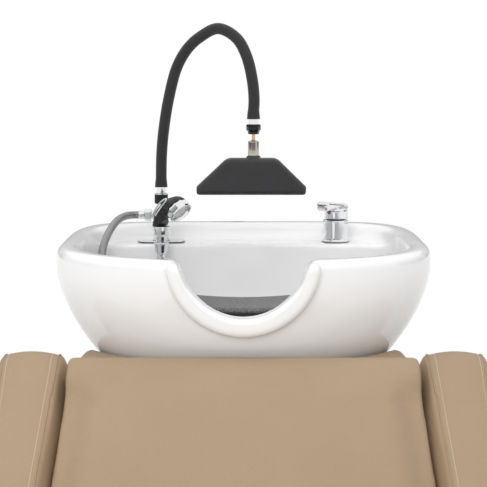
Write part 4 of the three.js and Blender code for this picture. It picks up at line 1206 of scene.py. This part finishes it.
def make_arch():
    x, y = COLUMN
    axis = (x, y, 0)
    fitting("arch_nut_body", "black_plastic", "arch", ["arch_nut"], [
        (9.4, 1009.5, 0), (12.2, 1009.5, 0.5), (12.5, 1011, 0.5), (12.5, 1026, 0.6), (11.9, 1027.2, 0.4),
        (9, 1027.2, 0)], axis, segments=144, ripple=(36, 0.7, 1011.5, 1025.5))
    fitting("arch_nut_rim", "chrome", "arch", [], [
        (8, 1027, 0), (12.3, 1027, 0.3), (12.3, 1028.8, 0.5), (8, 1029.1, 0)], axis)
    fitting("arch_ferrule_lower_body", "chrome", "arch", ["arch_ferrule_lower"], [
        (6, 1028.6, 0), (9, 1028.6, 0.4), (9, 1041, 0)], axis)

    path = [
        (x, y + 1, 1039.6), (x, y + 2, 1052), (-153, 192, 1098), (-149, 190, 1143), (-139, 184, 1203),
        (-123, 176, 1262), (-104, 165, 1295), (-82, 154, 1316), (-46, 134, 1333), (-13, 117, 1316),
        (5, 107, 1285), (16, 101, 1240), (19, 100, 1206), (18, 100, 1183), (18, 100, 1171.4),
    ]

    def flared(s, total):
        from_end = min(s, total - s)
        return 10.2 + 1.7 * max(1 - from_end / 17, 0) ** 0.8

    dress(tube("arch_hose_foam", path, flared, 260, 36), "hose_foam", "arch", "arch_hose")

    top = (*HEAD, 0)
    fitting("arch_ferrule_upper_body", "chrome", "arch", ["arch_ferrule_upper"], [
        (7, 1161.8, 0), (9, 1161.8, 0.4), (9, 1172.5, 0)], top)
    fitting("ball_nut_body", "black_chrome", "arch", ["ball_nut"], [
        (6.7, 1144.2, 0), (9.6, 1144.2, 0.6), (10.5, 1149, 0.5), (12.9, 1152, 0.6), (13.2, 1158.4, 0.5),
        (12.3, 1161.8, 0.6), (6.7, 1161.8, 0)], top, segments=8, sharp=12)
    fitting("ball_stem_body", "brass", "ball_joint", ["ball_stem"], [
        (1, 1131, 0), (3.2, 1131, 0.3), (3.2, 1147, 0.4), (5.2, 1149, 1), (6, 1152, 2), (5.2, 1155, 1),
        (1, 1157.4, 0)], top)
    fitting("swivel_bell_body", "nickel", "head_bell", ["swivel_bell"], [
        (8, 1105.8, 0), (10.3, 1105.8, 0.3), (10.2, 1112, 1), (9.8, 1131.4, 2.4), (4, 1133.6, 0.6),
        (3.4, 1133.6, 0)], top)
    head = carved("waterfall_head_body", waterfall_field, (-86, 80, 1035), (114, 120, 1106), 2.2)
    dress(head, "charcoal", "waterfall", "waterfall_head")


# ---------------------------------------------------------------- waste and neck rest

def make_waste():
    fitting("waste_flange_body", "chrome", "basin", ["waste_flange"], [
        (19.2, 684, 0), (23.3, 684, 0), (23.3, 718.6, 0.5), (35.6, 719.4, 0.4), (36, 720.4, 0.5),
        (35, 721.4, 0.6), (26, 720.6, 1.5), (21, 716, 2), (19.2, 684, 0)], (0, 0, 0))
    fitting("waste_tail_body", "chrome", "basin", ["waste_tail"], [
        (15.5, 600, 0), (18.6, 600, 0.5), (18.6, 689.4, 0.5), (15.5, 689.4, 0)], (0, 0, 0))
    fitting("hair_trap_body", "white_plastic", "basin", ["hair_trap"], [
        (5, 474, 0), (29, 474, 1.5), (30.5, 481, 1.5), (44, 482, 1), (44, 492, 1), (42, 494, 0.8), (42, 596, 0.8),
        (44.8, 598, 1), (44.8, 611, 1.5), (19.5, 611.6, 0)], (0, 0, 0), segments=72, ripple=(24, 1.4, 483, 491))
    fitting("hair_trap_spout", "white_plastic", "basin", [], [
        (8, 38, 0), (15.8, 38, 0.5), (15.8, 64, 0.8), (12.6, 65.8, 0.4), (12.4, 50, 0)], (0, 0, 560), (0, 1, 0))


def pad_top(x):
    return 875.4 + 12 * (x / 140) ** 2


def pad_layer(thick_from, thick_to, shrink):
    """One layer of the neck pad, between two depths under its curved top."""
    def field(x, y, z):
        depth = pad_top(x) - z
        plan = box_field(x, y, 0 * z, (-118 + shrink, -168 + shrink, -50), (118 - shrink, -88 - shrink, 50)) - 22
        layer = np.maximum(thick_from - depth, depth - thick_to)
        return common(layer, plan, 7 if thick_from == 0 else 3)
    return field


def make_neck_rest():
    # The top layer carries the lighter foam copy, painted light on the pad's top; the layer under it carries the
    # darker copy, painted shade on the pad's front face.
    top = carved("neck_pad_top", pad_layer(0, 9, 0), (-141, -191, 862), (141, -65, 889), 2)
    dress(top, "pad_foam", "neck_rest", "neck_pad")
    base = carved("neck_pad_base", pad_layer(8.2, 41, 1), (-141, -191, 833), (141, -65, 880), 2.6)
    dress(base, "pad_base", "neck_rest")


make_mixer()
make_column()
make_hand_shower()
make_hoses()
make_arch()
make_waste()
make_neck_rest()


# ---------------------------------------------------------------- CAD parts that stay as they are

KEPT = {
    "floor_plate": ("dark_steel", 1.0), "base_frame": ("dark_steel", 1.5), "plinth": ("black_plastic", 1.5),
    "seat_frame": ("dark_steel", 1.5), "seat_board": ("plywood", 1.0), "backrest_board": ("plywood", 1.0),
    "tilt_yoke": ("steel", 0.8), "tilt_axle": ("chrome", 0.6), "basin_cradle": ("steel", 0.8),
    "door_hinge": ("steel", 0.4), "service_door": ("white_plastic", 0.8), "door_latch": ("black_plastic", 0.5),
    "lock_rod": ("chrome", 0.4), "waste_nut": ("brass", 0.5), "mixer_nut": ("brass", 0.5),
    "column_nut": ("brass", 0.5), "waste_socket": ("grey_plastic", 0.8),
    "valve_hot": ("brass", 0.5), "valve_cold": ("brass", 0.5), "lock_knob": ("black_plastic", 1.2),
    "strainer": ("chrome", 0.3), "neck_tray": ("charcoal", 1.0),
}


def keep_cad(node, finish, width):
    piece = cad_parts[node]
    piece.data.materials.clear()
    piece.data.materials.append(FINISHES[finish].material)
    if width:
        bevel = piece.modifiers.new("edges", "BEVEL")
        bevel.width = width * MM
        bevel.segments = 2
        bevel.limit_method = "ANGLE"
        bevel.angle_limit = math.radians(35)
        bevel.harden_normals = True


for node, (finish, width) in KEPT.items():
    keep_cad(node, finish, width)


# ---------------------------------------------------------------- floor, light and camera

def make_floor():
    size = 60000
    points = [(-size, -size, 0), (size, -size, 0), (size, size, 0), (-size, size, 0)]
    floor = new_piece("studio_floor", points, [(0, 1, 2, 3)], False)
    f = Finish("pale_floor", (0.9, 0.9, 0.9, 1), 0.55)
    reach = f.node("VectorMath", {0: f.place}, operation="LENGTH").outputs["Value"]
    away = f.span(reach, 1.3, 3.0, 0.0, 1.0)
    glow = f.node("Emission", values={"Color": (1, 1, 1, 1), "Strength": 1.0})
    mix = f.node("MixShader", {0: away, 1: f.shader.outputs[0], 2: glow.outputs[0]})
    f.relief(f.noise(70, 3), 0.05, 0.0005)
    f.link(mix.outputs[0], f.nodes["Material Output"].inputs["Surface"])
    floor.data.materials.append(f.material)


# What polished metal sees around it, from the back by the left, the front and the right to the
# back again: white behind, grey walls, and a white sheet on each side of a dark camera place.
STUDIO_WALLS = [
    (0.0, 0.42), (0.09, 0.4), (0.1, 0.07), (0.125, 0.08), (0.14, 0.5), (0.22, 0.5), (0.24, 0.18),
    (0.395, 0.2), (0.405, 0.95), (0.425, 0.95), (0.434, 0.02), (0.482, 0.02), (0.487, 0.85), (0.494, 0.85),
    (0.5, 0.24), (0.59, 0.26), (0.61, 0.7), (0.66, 0.75), (0.67, 1.0), (0.73, 1.0), (0.745, 0.16),
    (0.85, 0.2), (0.87, 0.5), (0.9, 0.08), (0.91, 0.4), (1.0, 0.42),
]


def make_world():
    """White for the camera; for the object a soft studio, bright overhead, with darker walls to
    the sides and a few dark strips that give the chrome its contrast."""
    world = bpy.data.worlds.new("studio")
    bpy.context.scene.world = world
    world.use_nodes = True
    tree = world.node_tree
    nodes, links = tree.nodes, tree.links
    nodes.clear()

    def node(kind, *sources, **settings):
        made = nodes.new("ShaderNode" + kind)
        for key, value in settings.items():
            setattr(made, key, value)
        for socket, source in zip(made.inputs, sources):
            if isinstance(source, (int, float)):
                socket.default_value = source
            elif source is not None:
                links.new(source, socket)
        return made

    direction = node("TexCoord").outputs["Generated"]
    parts = node("SeparateXYZ", direction)
    up = parts.outputs["Z"]
    ahead = node("Math", parts.outputs["Y"], -1.0, operation="MULTIPLY").outputs[0]
    turn = node("Math", parts.outputs["X"], ahead, operation="ARCTAN2").outputs[0]
    share = node("MapRange", turn, -math.pi, math.pi, 0.0, 1.0).outputs[0]
    ramp = nodes.new("ShaderNodeValToRGB")
    links.new(share, ramp.inputs[0])
    while len(ramp.color_ramp.elements) > 1:
        ramp.color_ramp.elements.remove(ramp.color_ramp.elements[-1])
    for position, value in STUDIO_WALLS:
        stop = ramp.color_ramp.elements.new(position)
        stop.color = (value, value, value, 1)
    ceiling = node("MapRange", up, 0.3, 0.42, 0.0, 1.0).outputs[0]
    studio = node("Mix", ceiling, data_type="FLOAT")
    links.new(ramp.outputs[0], studio.inputs["A"])
    studio.inputs["B"].default_value = 1.0
    soft = node("MapRange", up, -0.2, 1.0, 0.58, 0.56).outputs[0]
    path = node("LightPath")
    lit = node("Mix", path.outputs["Is Glossy Ray"], data_type="FLOAT")
    links.new(soft, lit.inputs["A"])
    links.new(studio.outputs["Result"], lit.inputs["B"])
    seen = node("Mix", path.outputs["Is Camera Ray"], data_type="FLOAT")
    links.new(lit.outputs["Result"], seen.inputs["A"])
    seen.inputs["B"].default_value = 1.0
    background = node("Background")
    background.inputs["Color"].default_value = (1, 1, 1, 1)
    links.new(seen.outputs["Result"], background.inputs["Strength"])
    output = node("OutputWorld")
    links.new(background.outputs[0], output.inputs["Surface"])


def make_light(name, place, target, size, power):
    lamp = bpy.data.lights.new(name, "AREA")
    lamp.shape = "RECTANGLE"
    lamp.size, lamp.size_y = size
    lamp.energy = power
    piece = bpy.data.objects.new(name, lamp)
    piece.location = place
    piece.rotation_euler = aim(place, target)
    piece.visible_glossy = False
    bpy.context.scene.collection.objects.link(piece)


def aim(place, target):
    way = np.array(target, float) - np.array(place, float)
    flat = math.hypot(way[0], way[1])
    return (math.atan2(flat, -way[2]), 0, math.atan2(-way[0], way[1]))


def make_camera():
    camera = bpy.data.cameras.new("camera")
    camera.sensor_width = 36
    camera.lens = 110.6
    camera.clip_end = 200
    piece = bpy.data.objects.new("camera", camera)
    piece.location = (0, -2.6, 1.297)
    piece.rotation_euler = (math.radians(90 - 7.42), 0, 0)
    bpy.context.scene.collection.objects.link(piece)
    bpy.context.scene.camera = piece


make_floor()
make_world()
make_light("front_box", (-0.9, -3.3, 1.95), (0, -0.1, 0.75), (3.2, 1.8), 47)
make_light("overhead", (0.2, -0.3, 3.0), (0, 0.1, 0.8), (2.4, 1.8), 22)
make_camera()
bpy.context.scene.view_settings.view_transform = "Standard"
